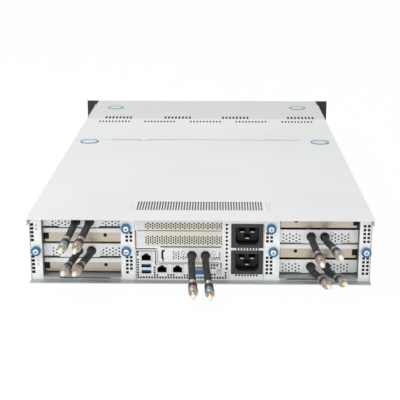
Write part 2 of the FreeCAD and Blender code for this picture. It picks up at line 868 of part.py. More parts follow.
def card_parts():
    """Boards and nickelled cold plates of the four cards, and the risers they plug into."""
    boards = []
    plates = []
    top_clear = WALL_TOP - S.sheet_gauge - S.top_clearance
    for side in (LEFT, RIGHT):
        for plate_slot in PLATE_SLOTS[side]:
            # the cooled side of each card faces its neighbour slot
            flipped = side == LEFT
            tag = f"{'left' if flipped else 'right'}_{plate_slot}"
            low = slot_floor(plate_slot)
            x = S.bay_inner + S.card_board_gauge
            if side == LEFT:
                x = -(x + S.card_width)
            start = BRACKET + S.plate_gauge
            length = S.card_length - S.bracket_setback + S.panel_setback
            board_z = low + 1.2
            if flipped:
                board_z = low + S.slot_pitch - S.card_board_gauge - 1.2
                if plate_slot == 3:
                    board_z = top_clear - S.card_board_gauge - 0.4
            boards.append(
                block(f"board_{tag}", x, start, board_z, S.card_width, length, S.card_board_gauge)
            )
            bar_slot = plate_slot - 1 if flipped else plate_slot + 1
            bar_low = slot_floor(bar_slot) + S.cold_bar_gap
            # the plate has a full face on the board's side and a ribbed channel block behind it
            body = new_body(f"cold_plate_{tag}")
            body_low = bar_low
            bar_high = bar_low + S.cold_bar_height
            bar = rectangle(x, body_low, x + S.card_width, bar_high)
            slab(body, "XZ", BRACKET + 1.4, [bar], length - S.plate_gauge)
            # the raised channel block meets the board
            if flipped:
                rise = rectangle(x + 8, bar_high - 1.0, x + S.card_width - 8, board_z)
            else:
                rise = rectangle(x + 8, board_z + S.card_board_gauge, x + S.card_width - 8, bar_low + 1)
            slab(body, "XZ", BRACKET + 34, [rise], length - 60)
            hole_x = side * 123.0
            hole = sketch(
                body,
                "XZ",
                BRACKET + 1.4,
                [regular(size(hole_x), bar_high - 3.8, S.cold_bar_hole / 2, 10)],
            )
            pocket(body, hole, 7.0, "XZ")
            # spigots that carry the coolant to the hose boots
            spigot_z = exit_height(plate_slot)
            for exit_x, exit_slot in HOSE_EXITS.values():
                if exit_slot == plate_slot and exit_x * side > 0:
                    spigot = regular(size(exit_x), spigot_z, S.hose_diameter / 2, 8)
                    reach = sketch(body, "XZ", BRACKET + S.plate_gauge, [spigot])
                    pad(body, reach, 35.0, "XZ")
            plates.append(body)
    node(group("card_board_set", *boards), "card_boards")
    node(group("cold_plate_set", *plates), "card_cold_plates")
    risers = []
    for side in (LEFT, RIGHT):
        gauge = S.card_board_gauge
        x = side * S.bay_inner - (gauge if side == LEFT else 0)
        riser = block(
            f"riser_{'left' if side == LEFT else 'right'}",
            x,
            PANEL + 30,
            FLOOR,
            gauge,
            S.riser_length,
            top_clear - FLOOR,
        )
        risers.append(riser)
    node(group("riser_set", *risers), "riser_boards")


PORTS = {
    # name: (middle x, middle z) on the rear face
    "management": (-69.3, 31.8),
    "network_left": (-49.2, 15.7),
    "network_right": (-29.1, 15.7),
}
USB_X = -69.4
USB_MOUTHS = (20.5, 12.35)
VIDEO_PORT = (-1.6, 13.6)
REAR_BUTTON = (24.4, 12.7)


def rear_panel():
    """The middle of the rear face: windows for blanks, loop plate, ports and mains inlets."""
    body = new_body("rear_panel_body")
    left = -(S.cage_left_edge - S.slip)
    right = S.cage_right_edge - S.slip
    gap = 0.2
    face = rectangle(left, FLOOR, right, PANEL_TOP)
    blanks = rectangle(-S.blank_left - gap, slot_floor(2) + 0.4, S.blank_right + gap, PANEL_TOP - 1.4)
    lap = S.plate_lap
    loop = rectangle(
        lap - S.loop_plate_left,
        S.loop_plate_base + lap / 2,
        S.loop_plate_right - lap,
        S.loop_plate_base + S.loop_plate_height - lap / 2,
    )
    slab(body, "XZ", PANEL, [face, blanks, loop], S.sheet_gauge)
    jack_hole = (S.jack_width + 0.4, S.jack_height + 0.4)
    for x, z in PORTS.values():
        pierce(body, "XZ", PANEL, [oblong(x, z, *jack_hole)])
    board_top = S.board_height + S.board_gauge
    usb_half = S.usb_width / 2 + gap
    usb_top = board_top + S.usb_height + gap / 2
    pierce(body, "XZ", PANEL, [rectangle(USB_X - usb_half, board_top - gap, USB_X + usb_half, usb_top)])
    x, z = VIDEO_PORT
    pierce(body, "XZ", PANEL, [oblong(x, z, S.video_width + 0.4, S.video_height + 0.4)])
    x, z = REAR_BUTTON
    pierce(body, "XZ", PANEL, [regular(size(x), z, S.rear_button_radius + S.button_clearance, 12)])
    for number in (0, 1):
        middle_x = S.inlet_left + S.inlet_width / 2
        middle_z = S.inlet_base + S.inlet_pitch * number + S.inlet_height / 2
        opening = oblong(middle_x, middle_z, S.inlet_width, S.inlet_height)
        pierce(body, "XZ", PANEL, [opening])
    strip = regular(size(34.0), size(17.2), S.strip_hole / 2, 6)
    holes = pierce(body, "XZ", PANEL, [strip])
    grid(body, holes, "Z", S.strip_hole_pitch, 12)
    return node(body, "rear_panel")


def slot_blanks():
    """Two cover plates for the empty low-profile slots, each with a folded screw ear."""
    plates = []
    for slot in (2, 3):
        body = new_body(f"slot_blank_{slot}")
        # the plates lap behind the sheet around their window
        seat = PANEL + S.sheet_gauge
        low = slot_floor(slot) + (0.9 if slot == 3 else -0.9)
        high = PANEL_TOP - 0.2 if slot == 3 else slot_floor(slot) + S.slot_pitch
        left = -S.blank_left - S.plate_lap
        right = S.blank_right + S.plate_lap
        slab(body, "XZ", seat, [rectangle(left, low, right, high)], S.blank_gauge)
        slab(body, "XZ", seat, [rectangle(left, low, right, low + S.blank_gauge)], 9.0)
        boss = regular(size(-76.4), (low + high) / 2 + 1.0, 2.4, 10)
        slab(body, "XZ", seat + 0.2, [boss], 0.9, forward=False)
        plates.append(body)
    return node(group("blanks", *plates), "slot_blanks")


def loop_bracket():
    """The plate and tray that carry the processors' coolant loop through the rear face."""
    body = new_body("loop_bracket_body")
    low = S.loop_plate_base
    high = low + S.loop_plate_height
    left = -S.loop_plate_left
    right = S.loop_plate_right
    slab(body, "XZ", LOOP_FACE, [rectangle(left, low, right, high)], S.sheet_gauge)
    # its tray goes in through the window
    tray_low = low + S.plate_lap
    tray = rectangle(left + S.plate_lap * 2, tray_low, right - S.plate_lap * 2, tray_low + S.sheet_gauge)
    slab(body, "XZ", LOOP_FACE, [tray], S.loop_tray_length)
    face = LOOP_FACE
    for x in LOOP_EXITS.values():
        pierce(body, "XZ", face, [boot_hole(x, LOOP_HEIGHT)])
    # a spring tongue is freed by a slot on three sides
    hook = [
        (-45.4, low + 3.4),
        (-48.8, low + 3.4),
        (-48.8, high - 1.9),
        (-45.4, high - 1.9),
        (-45.4, high - 3.3),
        (-47.2, high - 3.3),
        (-47.2, low + 4.8),
        (-45.4, low + 4.8),
    ]
    pierce(body, "XZ", face, [hook], depth=3.2)
    return node(body, "loop_bracket")


def port_parts():
    """Network jacks, USB sockets and the video socket, each with its real mouth."""
    jacks = []
    behind = PANEL - 0.3
    for name, (x, z) in PORTS.items():
        body = new_body(f"jack_{name}")
        slab(body, "XZ", behind, [oblong(x, z, S.jack_width, S.jack_height)], S.jack_depth)
        width = S.jack_mouth_width / 2
        height = S.jack_mouth_height / 2
        mouth = [
            (x - width, z - height),
            (x + width, z - height),
            (x + width, z + height - 1.6),
            (x + width * 0.62, z + height - 1.6),
            (x + width * 0.62, z + height),
            (x + width * 0.3, z + height),
            (x + width * 0.3, z + height + 1.2),
            (x - width * 0.3, z + height + 1.2),
            (x - width * 0.3, z + height),
            (x - width * 0.62, z + height),
            (x - width * 0.62, z + height - 1.6),
            (x - width, z + height - 1.6),
        ]
        pocket(body, sketch(body, "XZ", behind, [mouth]), S.jack_depth - 5.0, "XZ")
        jacks.append(body)
    node(group("jacks", *jacks), "network_jacks")
    # the two USB mouths are in one block, which carries the management jack
    body = new_body("usb_body")
    low = S.board_height + S.board_gauge
    half = S.usb_width / 2
    shell = rectangle(USB_X - half, low, USB_X + half, low + S.usb_height)
    slab(body, "XZ", behind, [shell], S.usb_depth)
    inside = [
        oblong(USB_X, size(z), S.usb_width - S.usb_wall * 2, S.usb_mouth_height) for z in USB_MOUTHS
    ]
    pocket(body, sketch(body, "XZ", behind, inside), S.usb_depth - 3.0, "XZ")
    tongues = [oblong(USB_X, z + size(0.9), S.usb_width - 2.6, 1.8) for z in USB_MOUTHS]
    slab(body, "XZ", behind + 1.4, tongues, S.usb_depth - 3.0)
    node(body, "usb_sockets")
    x, z = VIDEO_PORT
    body = new_body("video_socket_body")
    slab(body, "XZ", behind, [oblong(x, z, S.video_width, S.video_height)], S.video_depth)
    half = S.video_width / 2 - 0.8
    tall = S.video_height / 2 - 0.8
    shell = [(x - half, z + tall), (x - half + 1.4, z - tall), (x + half - 1.4, z - tall)]
    shell.append((x + half, z + tall))
    slab(body, "XZ", behind - 4.6, [shell], 5.0)
    node(body, "video_socket")


def id_button():
    """The small locating button beside the video socket."""
    body = button("id_button_body", S.rear_button_radius, S.sheet_gauge + 1.5, 1.0)
    x, z = REAR_BUTTON
    body.Placement = at(x, PANEL, z, FreeCAD.Rotation(Vector(1, 0, 0), 90))
    return node(body, "id_button")


def power_inlets():
    """Two mains inlets: black housing, deep recess with bevelled corners, three blades."""
    inlets = []
    face = PANEL - 0.8
    for number in (0, 1):
        body = new_body(f"inlet_{number}")
        low = S.inlet_base + S.inlet_pitch * number
        right = S.inlet_left + S.inlet_width
        shell = rectangle(S.inlet_left, low, right, low + S.inlet_height)
        slab(body, "XZ", face, [shell], S.inlet_depth)
        x = S.inlet_left + S.inlet_width / 2
        z = low + S.inlet_height / 2
        half = S.inlet_recess_width / 2
        tall = S.inlet_recess_height / 2
        bevel = S.inlet_corner
        recess = [
            (x - half, z + tall),
            (x - half, z - tall + bevel),
            (x - half + bevel, z - tall),
            (x + half - bevel, z - tall),
            (x + half, z - tall + bevel),
            (x + half, z + tall),
        ]
        pocket(body, sketch(body, "XZ", face, [recess]), S.inlet_recess_depth, "XZ")
        floor = face + S.inlet_recess_depth + 0.1
        for blade_x, blade_z in ((x - 6.5, z + 4.0), (x + 6.5, z + 4.0), (x, z - 4.4)):
            blade = oblong(blade_x, blade_z, 7.9, 2.0)
            slab(body, "XZ", floor, [blade], S.inlet_recess_depth - 4.0, forward=False)
        inlets.append(body)
    return node(group("inlets", *inlets), "power_inlets")


# ---------------------------------------------------------------------- cooling hoses


def hose_boots():
    """The round rubber boots that the hoses leave through."""
    boots = []
    places = [(x, exit_height(slot), BRACKET, S.plate_gauge) for x, slot in HOSE_EXITS.values()]
    places += [(x, LOOP_HEIGHT, LOOP_FACE, S.sheet_gauge) for x in LOOP_EXITS.values()]
    for number, (x, z, face, gauge) in enumerate(places):
        body = new_body(f"boot_{number}")
        outline = regular(size(x), z, S.boot_radius, 10)
        slab(body, "XZ", face - S.boot_reach, [outline], S.boot_reach + gauge)
        boots.append(body)
    return node(group("boots", *boots), "hose_boots")


def exit_point(name):
    """Where a hose leaves its boot."""
    if name in LOOP_EXITS:
        return (LOOP_EXITS[name], (LOOP_FACE - S.boot_reach).value, LOOP_HEIGHT.value)
    x, slot = HOSE_EXITS[name]
    return (x, (BRACKET - S.boot_reach).value, exit_height(slot).value)


# Each hose's route after its boot, as steps (across, out, up) from the point before.
HOSE_STEPS = {
    "a": ((0.0, -18.0, 0.0), (-1.0, -22.5, -1.6), (-2.8, -20.0, -4.4)),
    "b": ((0.0, -18.0, 0.0), (-2.1, -22.0, -1.8), (-2.8, -19.5, -4.6)),
    "c": ((0.0, -15.0, 0.0), (-2.4, -21.5, 0.4), (-2.8, -19.5, -1.2)),
    "d": ((0.0, -15.5, 0.0), (-3.6, -21.0, 1.2), (-3.6, -19.0, -1.8)),
    "e": ((0.0, -18.0, 0.0), (1.8, -22.0, -1.9), (2.3, -19.0, -3.0)),
    "f": ((0.0, -16.5, 0.0), (4.1, -21.5, 1.8), (3.5, -19.0, -0.8)),
    "g": ((0.0, -15.5, 0.0), (5.4, -20.5, 1.8), (4.9, -18.5, 0.2)),
    "h": ((0.0, -15.5, 0.0), (5.0, -20.5, 3.0), (5.0, -18.5, 1.2)),
    "i": ((0.0, -18.0, 0.0), (1.2, -26.0, -6.0), (1.6, -24.0, -7.6)),
    "j": ((0.0, -18.0, 0.0), (2.6, -26.0, -6.4), (2.4, -24.0, -8.2)),
}


def hose_route(name):
    points = [Vector(*exit_point(name))]
    for step in HOSE_STEPS[name]:
        points.append(points[-1] + Vector(*step))
    return points


def rounded_path(points):
    """Straight runs joined by the largest tangent arcs that the runs leave room for."""
    edges = []
    radii = []
    start = points[0]
    for before, corner, after in zip(points, points[1:], points[2:]):
        back = before - corner
        ahead = after - corner
        half_turn = (math.pi - back.getAngle(ahead)) / 2
        trim = 0.45 * min(back.Length, ahead.Length)
        radius = trim / math.tan(half_turn)
        back.normalize()
        ahead.normalize()
        enter = corner + back * trim
        leave = corner + ahead * trim
        inward = (back + ahead).normalize()
        to_arc = radius / math.cos(half_turn) - radius
        middle = corner + inward * to_arc
        edges.append(Part.LineSegment(start, enter).toShape())
        edges.append(Part.Arc(enter, middle, leave).toShape())
        radii.append(radius)
        start = leave
    edges.append(Part.LineSegment(start, points[-1]).toShape())
    return Part.Wire(edges), radii


def square_to(heading):
    """Two directions square to a heading and to each other."""
    across = heading.cross(Vector(1, 0, 0) if abs(heading.z) > 0.9 else Vector(0, 0, 1))
    across.normalize()
    return across, across.cross(heading)


def tube_along(points, diameter, sides=8):
    """A many-sided tube along a route, checked against its section times its length."""
    path, radii = rounded_path(points)
    across, up = square_to((points[1] - points[0]).normalize())
    radius = diameter / 2
    corners = []
    for n in range(sides):
        turned = 2 * math.pi * n / sides
        corners.append(points[0] + across * radius * math.cos(turned) + up * radius * math.sin(turned))
    ring = Part.makePolygon(corners + corners[:1])
    tube = path.makePipeShell([ring], True, False)
    expected = sides / 2 * radius**2 * math.sin(2 * math.pi / sides) * path.Length
    if abs(tube.Volume - expected) > expected * 0.02:
        raise RuntimeError(f"a tube holds {tube.Volume:.1f} in place of {expected:.1f} mm3")
    return tube, radii, path.Length


def quick_coupling():
    """A coupling about the Z axis: clamp and collar, coloured ring, sleeve, stem and cap."""
    body = new_body("coupling_template")
    length = S.coupling_length
    radius = S.coupling_radius
    for wide, low, high in ((0.86, 0.0, 0.3), (1.0, 0.3, 0.62), (0.5, 0.62, 0.78)):
        ring = regular(0, 0, radius * wide, 8)
        slab(body, "XY", length * low, [ring], length * (high - low))
    slab(body, "XY", length * 0.78, [regular(0, 0, S.cap_radius, 6)], length * 0.22)
    doc.recompute()
    return body.Shape


def hoses_and_couplings():
    """Ten braided hoses, each face to face with its boot and its capped coupling."""
    coupling = quick_coupling()
    sets = {"supply_couplings": "acfhj", "return_couplings": "bdegi"}
    ends = {}
    for name in HOSE_STEPS:
        points = hose_route(name)
        tube, radii, length = tube_along(points, S.hose_diameter.value)
        hose = doc.addObject("Part::Feature", f"hose_{name}_tube")
        hose.Shape = tube
        node(hose, f"hose_{name}")
        heading = points[-1] - points[-2]
        ends[name] = FreeCAD.Placement(points[-1], FreeCAD.Rotation(Vector(0, 0, 1), heading))
        shown = ", ".join(f"{radius:.0f}" for radius in radii)
        print(f"hose_{name}: length {length:.1f}, radii {shown}")
    for label, letters in sets.items():
        made = doc.addObject("Part::Feature", f"{label}_set")
        solids = []
        for letter in letters:
            shape = coupling.copy()
            shape.Placement = ends[letter]
            solids.append(shape)
        made.Shape = Part.makeCompound(solids)
        node(made, label)


def eased(points, share=0.3):
    """A route with each sharp corner taken in three steps in place of one."""
    eased_points = [points[0]]
    for before, corner, after in zip(points, points[1:], points[2:]):
        if (corner - before).getAngle(after - corner) < math.radians(32):
            eased_points.append(corner)
            continue
        trim = share * min((before - corner).Length, (after - corner).Length)
        enter = corner + (before - corner).normalize() * trim
        leave = corner + (after - corner).normalize() * trim
        crown = corner * 0.5 + (enter + leave) * 0.25
        eased_points += [enter, crown, leave]
    return eased_points + [points[-1]]


def mitred_tube(points, radius, sides=8):
    """A many-sided tube of straight runs that meet in mitres."""
    across, up = square_to((points[1] - points[0]).normalize())
    corners = []
    for n in range(sides):
        turned = 2 * math.pi * (n + 0.5) / sides
        corners.append(points[0] + (across * math.cos(turned) + up * math.sin(turned)) * radius)
    rings = [corners]
    for n in range(1, len(points)):
        heading = (points[n] - points[n - 1]).normalize()
        mitre = heading
        if n + 1 < len(points):
            mitre = heading + (points[n + 1] - points[n]).normalize()
        moved = []
        for corner in rings[-1]:
            along = (points[n] - corner).dot(mitre) / heading.dot(mitre)
            moved.append(corner + heading * along)
        rings.append(moved)
    faces = [Part.Face(Part.makePolygon(ring + ring[:1])) for ring in (rings[0], rings[-1])]
    for near, far in zip(rings, rings[1:]):
        for n in range(sides):
            after = (n + 1) % sides
            faces.append(Part.Face(Part.makePolygon([near[n], near[after], far[after], far[n], near[n]])))
    return Part.Solid(Part.Shell(faces))


def coolant_tubes():
    """Rigid tubes of the processors' loop: in, across and back out."""
    z_exit = LOOP_HEIGHT.value
    start = PANEL.value
    plate_top = (COLD_PLATE_BASE + S.cold_plate_height).value
    over = plate_top + S.tube_diameter.value / 2 + 8
    x = S.processor_offset.value
    y = (REAR + S.processor_setback).value
    rear_port = y - S.cold_plate_length.value / 2 + 18
    front_port = y + S.cold_plate_length.value / 2 - 18
    turn_out = (REAR + S.board_shoulder).value - 4
    routes = []
    for name, side in (("i", LEFT), ("j", RIGHT)):
        exit_x = LOOP_EXITS[name]
        routes.append(
            [
                Vector(exit_x, start, z_exit),
                Vector(exit_x, start + 60, z_exit),
                Vector(exit_x + side * 4, turn_out - 60, over),
                Vector(exit_x + side * 6, turn_out, over),
                Vector(side * (x - 30), turn_out + 26, over),
                Vector(side * x, rear_port, over),
                Vector(side * x, rear_port, plate_top),
            ]
        )
    link_y = front_port + 24
    routes.append(
        [
            Vector(-x, front_port, plate_top),
            Vector(-x, front_port, over),
            Vector(-(x - 22), link_y, over),
            Vector(x - 22, link_y, over),
            Vector(x, front_port, over),
            Vector(x, front_port, plate_top),
        ]
    )
    tubes = [mitred_tube(eased(route), S.tube_diameter.value / 2) for route in routes]
    made = doc.addObject("Part::Feature", "coolant_tube_set")
    made.Shape = Part.makeCompound(tubes)
    return node(made, "coolant_tubes")


# ----------------------------------------------------------------------- electronics

COLD_PLATE_BASE = S.board_height + S.board_gauge + 6.0


def motherboard():
    """The T-shaped main board, its processor sockets and memory slots, on standoffs."""
    body = new_body("motherboard_body")
    half = S.board_half_width
    neck_left = -(S.cage_left_edge - 2)
    neck_right = S.inlet_left - 4
    rear = PANEL + 2.0
    shoulder = REAR + S.board_shoulder
    front = REAR + S.board_front
    outline = [
        (neck_left, rear),
        (neck_right, rear),
        (neck_right, shoulder),
        (half, shoulder),
        (half, front),
        (-half, front),
        (-half, shoulder),
        (neck_left, shoulder),
    ]
    slab(body, "XY", S.board_height, [outline], S.board_gauge)
    top = S.board_height + S.board_gauge
    y = REAR + S.processor_setback
    for side in (LEFT, RIGHT):
        socket = oblong(side * S.processor_offset, y, S.cold_plate_width - 8, S.cold_plate_length - 14)
        slab(body, "XY", top, [socket], COLD_PLATE_BASE - top)
    # standoffs down to the floor
    feet = sketch(body, "XY", FLOOR, [regular(-half + 12, shoulder + 14, 3.0, 6)])
    foot = pad(body, feet, S.board_height - FLOOR, "XY")
    grid(body, foot, "X", half - 12, 3, "Y", (front - shoulder - 28) / 2, 3)
    neck = sketch(body, "XY", FLOOR, [regular(neck_left + 12, rear + 24, 3.0, 6)])
    post = pad(body, neck, S.board_height - FLOOR, "XY")
    grid(body, post, "X", neck_right - neck_left - 24, 2, "Y", 120.0, 2)
    node(body, "motherboard")


def processor_parts():
    """Cold plates on the processors and two banks of memory beside each."""
    plates = []
    y = REAR + S.processor_setback
    width = S.cold_plate_width
    length = S.cold_plate_length
    for side in (LEFT, RIGHT):
        body = new_body(f"processor_plate_{'left' if side == LEFT else 'right'}")
        x = side * S.processor_offset
        base = oblong(x, y, width, length)
        slab(body, "XY", COLD_PLATE_BASE, [base], 7.0)
        raised = oblong(x, y, width - 22, length - 16)
        slab(body, "XY", COLD_PLATE_BASE + 7.0, [raised], S.cold_plate_height - 7.0)
        plates.append(body)
    node(group("processor_plate_set", *plates), "processor_cold_plates")
    modules = []
    low = S.board_height + S.board_gauge
    for side in (LEFT, RIGHT):
        for bank in (LEFT, RIGHT):
            x = side * S.processor_offset + bank * (width / 2 + 8.0)
            body = new_body(f"memory_{side + 1}_{bank + 1}")
            start = x - S.memory_gauge / 2
            reach = S.memory_length / 2
            module = rectangle(start, y - reach, start + S.memory_gauge, y + reach)
            first = slab(body, "XY", low, [module], S.memory_height)
            socket = rectangle(
                start - 0.9,
                y - reach - 5,
                start + S.memory_gauge + 0.9,
                y + reach + 5,
            )
            slab(body, "XY", low, [socket], 8.0)
            modules.append((body, bank))
    doc.recompute()
    banks = []
    for body, bank in modules:
        pitch = (S.memory_pitch * bank).value
        for number in range(5):
            shape = body.Shape.copy()
            shape.translate(Vector(pitch * number, 0, 0))
            banks.append(shape)
    made = doc.addObject("Part::Feature", "memory_set")
    made.Shape = Part.makeCompound(banks)
    node(made, "memory_modules")


# ------------------------------------------------------------------------------ fans

FAN_COUNT = 4
FAN_FACE = REAR + S.fan_setback
FAN_MIDDLE = FLOOR + S.fan_size / 2


def fan_x(number):
    return S.fan_pitch * (number - (FAN_COUNT - 1) / 2)


def fan_frames():
    """Four square fan frames, each with a round duct, struts and the motor's cup."""
    frames = []
    for number in range(FAN_COUNT):
        body = new_body(f"fan_frame_{number + 1}")
        x = fan_x(number)
        z = FAN_MIDDLE
        square = oblong(x, z, S.fan_size, S.fan_size)
        slab(body, "XZ", FAN_FACE, [square, regular(x, z, S.fan_bore, 12)], S.fan_depth)
        posts = oblong(x, z, 3.0, S.fan_bore * 2 - 0.4)
        slab(body, "XZ", FAN_FACE, [posts], 4.0)
        slab(body, "XZ", FAN_FACE, [regular(x, z, S.fan_hub_radius, 8)], 8.0)
        bearing = S.fan_shaft_radius + S.fan_shaft_clearance
        bore = sketch(body, "XZ", FAN_FACE + 8.0, [clear_bore(x, z, bearing)])
        pocket(body, bore, 6.0, "XZ", forward=False)
        frames.append(body)
    return node(group("fan_frame_set", *frames), "fan_frames")


def fan_rotor(number):
    """A hub and five swept blades on a shaft that runs in the frame's cup."""
    body = new_body(f"fan_rotor_{number}_body")
    hub = S.fan_hub_radius
    length = S.fan_depth - 12.0
    slab(body, "XY", 0.6, [regular(0, 0, hub, 10)], length - 0.6)
    slab(body, "XY", -5.0, [], 6.0, discs=[(0, 0, S.fan_shaft_radius)])
    # a blade is a cambered section, leaning to the axis, carried out from the hub
    camber = [(-11.0, -2.2), (0.0, 1.5), (11.5, -0.9), (0.0, 0.0)]
    lean = math.radians(42.0)
    middle = length.value / 2 + 0.6
    loop = []
    for u, v in camber:
        across = u * math.cos(lean) - v * math.sin(lean)
        up = u * math.sin(lean) + v * math.cos(lean)
        loop.append((across, middle + up))
    blade = slab(body, "YZ", hub - 2.0, [loop], S.fan_blade_radius - hub + 2.0)
    ring = body.newObject("PartDesign::PolarPattern", f"fan_blades_{number}")
    ring.Originals = [blade]
    ring.Axis = (origin_feature(body, "Z_Axis"), [""])
    ring.Angle = 360
    ring.Occurrences = 5
    body.Tip = ring
    ring.Refine = False
    body.Placement = at(
        fan_x(number - 1), FAN_FACE + 8.4, FAN_MIDDLE, FreeCAD.Rotation(Vector(1, 0, 0), -90)
    )
    return node(body, f"fan_rotor_{number}")


# --------------------------------------------------------------------- front of the case

TRAY_PLACES = [(column, row) for row in (0, 1) for column in (0, 1)]


def tray_corner(column, row):
    x = S.drive_block_left + (S.tray_width + S.tray_gap) * column
    z = S.drive_block_base + (S.tray_height + S.tray_gap) * row
    return x, z


DRIVE_RIGHT = S.drive_block_left + S.tray_width * 2 + S.tray_gap * 2 + 0.4
DRIVE_TOP = S.drive_block_base + S.tray_height * 2 + S.tray_gap * 2 + 0.4


def drive_tray(number, column, row):
    """A drive on its sliding carrier, with an air-slotted front."""
    x, z = tray_corner(column, row)
    body = new_body(f"tray_{number}_body")
    width = S.tray_width
    height = S.tray_height
    wall = S.tray_wall
    face = S.lever_depth + 3.0
    channel = [
        (x, z),
        (x + width, z),
        (x + width, z + height - 6),
        (x + width - wall, z + height - 6),
        (x + width - wall, z + wall),
        (x + wall, z + wall),
        (x + wall, z + height - 6),
        (x, z + height - 6),
    ]
    slab(body, "XZ", FRONT - S.tray_length, [channel], S.tray_length - face)
    front = rectangle(x, z, x + width, z + height)
    slab(body, "XZ", FRONT - face, [front], 3.0)
    # posts either side of the lever, bored for its pin
    post_left = rectangle(x, z, x + 8, z + height)
    slab(body, "XZ", FRONT - face + 2.0, [post_left], S.lever_depth + 1.0)
    post_right = rectangle(x + width - 5, z, x + width, z + height)
    slab(body, "XZ", FRONT - face + 2.0, [post_right], S.lever_depth + 1.0)
    lever_low = z + (height - S.lever_height) / 2
    gap = rectangle(x + 1.0, lever_low - 0.5, x + 9, lever_low + S.lever_height + 0.5)
    pocket(body, sketch(body, "XZ", FRONT - face + 3.0, [gap]), S.lever_depth + 2, "XZ")
    pin_bore = S.lever_pin + S.lever_pin_clearance
    bore = sketch(body, "XY", z, [clear_bore(x + 4.6, FRONT - S.lever_depth / 2, pin_bore)])
    pocket(body, bore, height + 1, "XY")
    slots = pierce(
        body, "XZ", FRONT - face + 1, [oblong(x + 22, z + height / 2, 12.0, height - 10)], depth=8
    )
    grid(body, slots, "X", 20.0, 4)
    drive = block(
        f"drive_{number}",
        x + (width - S.drive_width) / 2,
        FRONT - S.tray_length + 4,
        z + wall,
        S.drive_width,
        S.drive_length,
        S.drive_height,
    )
    return node(group(f"tray_{number}", body, drive), f"drive_tray_{number}")


def drive_lever(number, column, row):
    """The lever across a tray's front, which swings out about its upright pin."""
    x, z = tray_corner(column, row)
    body = new_body(f"lever_{number}_body")
    pin_x = x + 4.6
    pin_y = FRONT - S.lever_depth / 2
    low = z + (S.tray_height - S.lever_height) / 2
    end = x + S.tray_width - 5.6
    half = S.lever_depth / 2
    nose = half * 0.42
    arm = [
        (pin_x - nose, pin_y - half + 0.3),
        (pin_x - half + 0.4, pin_y - nose),
        (pin_x - half + 0.4, pin_y + nose),
        (pin_x - nose, pin_y + half),
        (end - 9, pin_y + half),
        (end, pin_y + half - 2.2),
        (end, pin_y + half - 4.2),
        (end - 9, pin_y - half + 2.4),
        (end - 16, pin_y - half + 0.8),
        (x + 18, pin_y - half + 0.8),
        (x + 12, pin_y - half + 0.3),
    ]
    slab(body, "XY", low, [arm], S.lever_height)
    opening = rectangle(x + 20, low + 4.0, end - 20, low + S.lever_height - 4.0)
    pierce(body, "XZ", pin_y, [opening], depth=20)
    pin = sketch(body, "XY", z + 0.8, discs=[(pin_x, pin_y, S.lever_pin)])
    pad(body, pin, S.tray_height - 1.6, "XY")
    return node(body, f"drive_lever_{number}")


def drive_cage():
    """The folded cage around the four drive trays, with a middle wall and shelf."""
    body = new_body("drive_cage_body")
    gauge = S.sheet_gauge
    left = S.drive_block_left - 0.5
    middle = S.drive_block_left + S.tray_width + S.tray_gap / 2
    low = FLOOR
    outside = rectangle(left - gauge, low, DRIVE_RIGHT + gauge, DRIVE_TOP + gauge)
    shelf = S.drive_block_base + S.tray_height + S.tray_gap / 2
    gap = 0.3
    cells = []
    for x0, x1 in ((left, middle - gap), (middle + gap, DRIVE_RIGHT)):
        for z0, z1 in ((low + gauge, shelf - gap), (shelf + gap, DRIVE_TOP)):
            cells.append(rectangle(x0, z0, x1, z1))
    slab(body, "XZ", FRONT - S.tray_length, [outside, *cells], S.tray_length - 2.0)
    return node(body, "drive_cage")


def drive_backplane():
    """The board that the drives plug into, with a connector block for each."""
    body = new_body("drive_backplane_body")
    left = S.drive_block_left - 1.0
    rear = FRONT - S.tray_length - 6.0
    low = FLOOR
    board = rectangle(left, low, DRIVE_RIGHT + 1.0, DRIVE_TOP + 6)
    slab(body, "XZ", rear, [board], 1.6)
    vent = oblong(left + S.tray_width * 0.72, low + 31.0, 34, 3.0)
    row = pierce(body, "XZ", rear, [vent])
    grid(body, row, "X", S.tray_width + S.tray_gap, 2)
    for column, row_number in TRAY_PLACES:
        x, z = tray_corner(column, row_number)
        plug = rectangle(x + 30, z + 6, x + 74, z + 12)
        slab(body, "XZ", rear + 1.5, [plug], 3.6)
    return node(body, "drive_backplane")


POWER_ROWS = {"lower": 0, "upper": 1}


def power_corner(row):
    return S.power_left, S.power_base + (S.power_height + S.power_gap) * row


def power_cage():
    """The sleeve that guides the two power modules, with a shelf between them."""
    body = new_body("power_cage_body")
    x, z = power_corner(0)
    gauge = 0.9
    gap = 0.3
    right = x + S.power_width
    _, upper = power_corner(1)
    low = FLOOR
    top = upper + S.power_height + 0.3
    outside = rectangle(x - gap - gauge, low, right + gap + gauge, top + 0.8)
    shelf_low = z + S.power_height + 0.3
    cells = [
        rectangle(x - gap, low + gauge, right + gap, shelf_low),
        rectangle(x - gap, upper - 0.3, right + gap, top),
    ]
    slab(body, "XZ", FRONT - S.power_length - 8.0, [outside, *cells], S.power_length + 4.0)
    # the board that the modules' edge contacts meet closes the far end
    back = FRONT - S.power_length - 8.0
    slab(body, "XZ", back - 1.6, [outside], 1.6)
    return node(body, "power_cage")


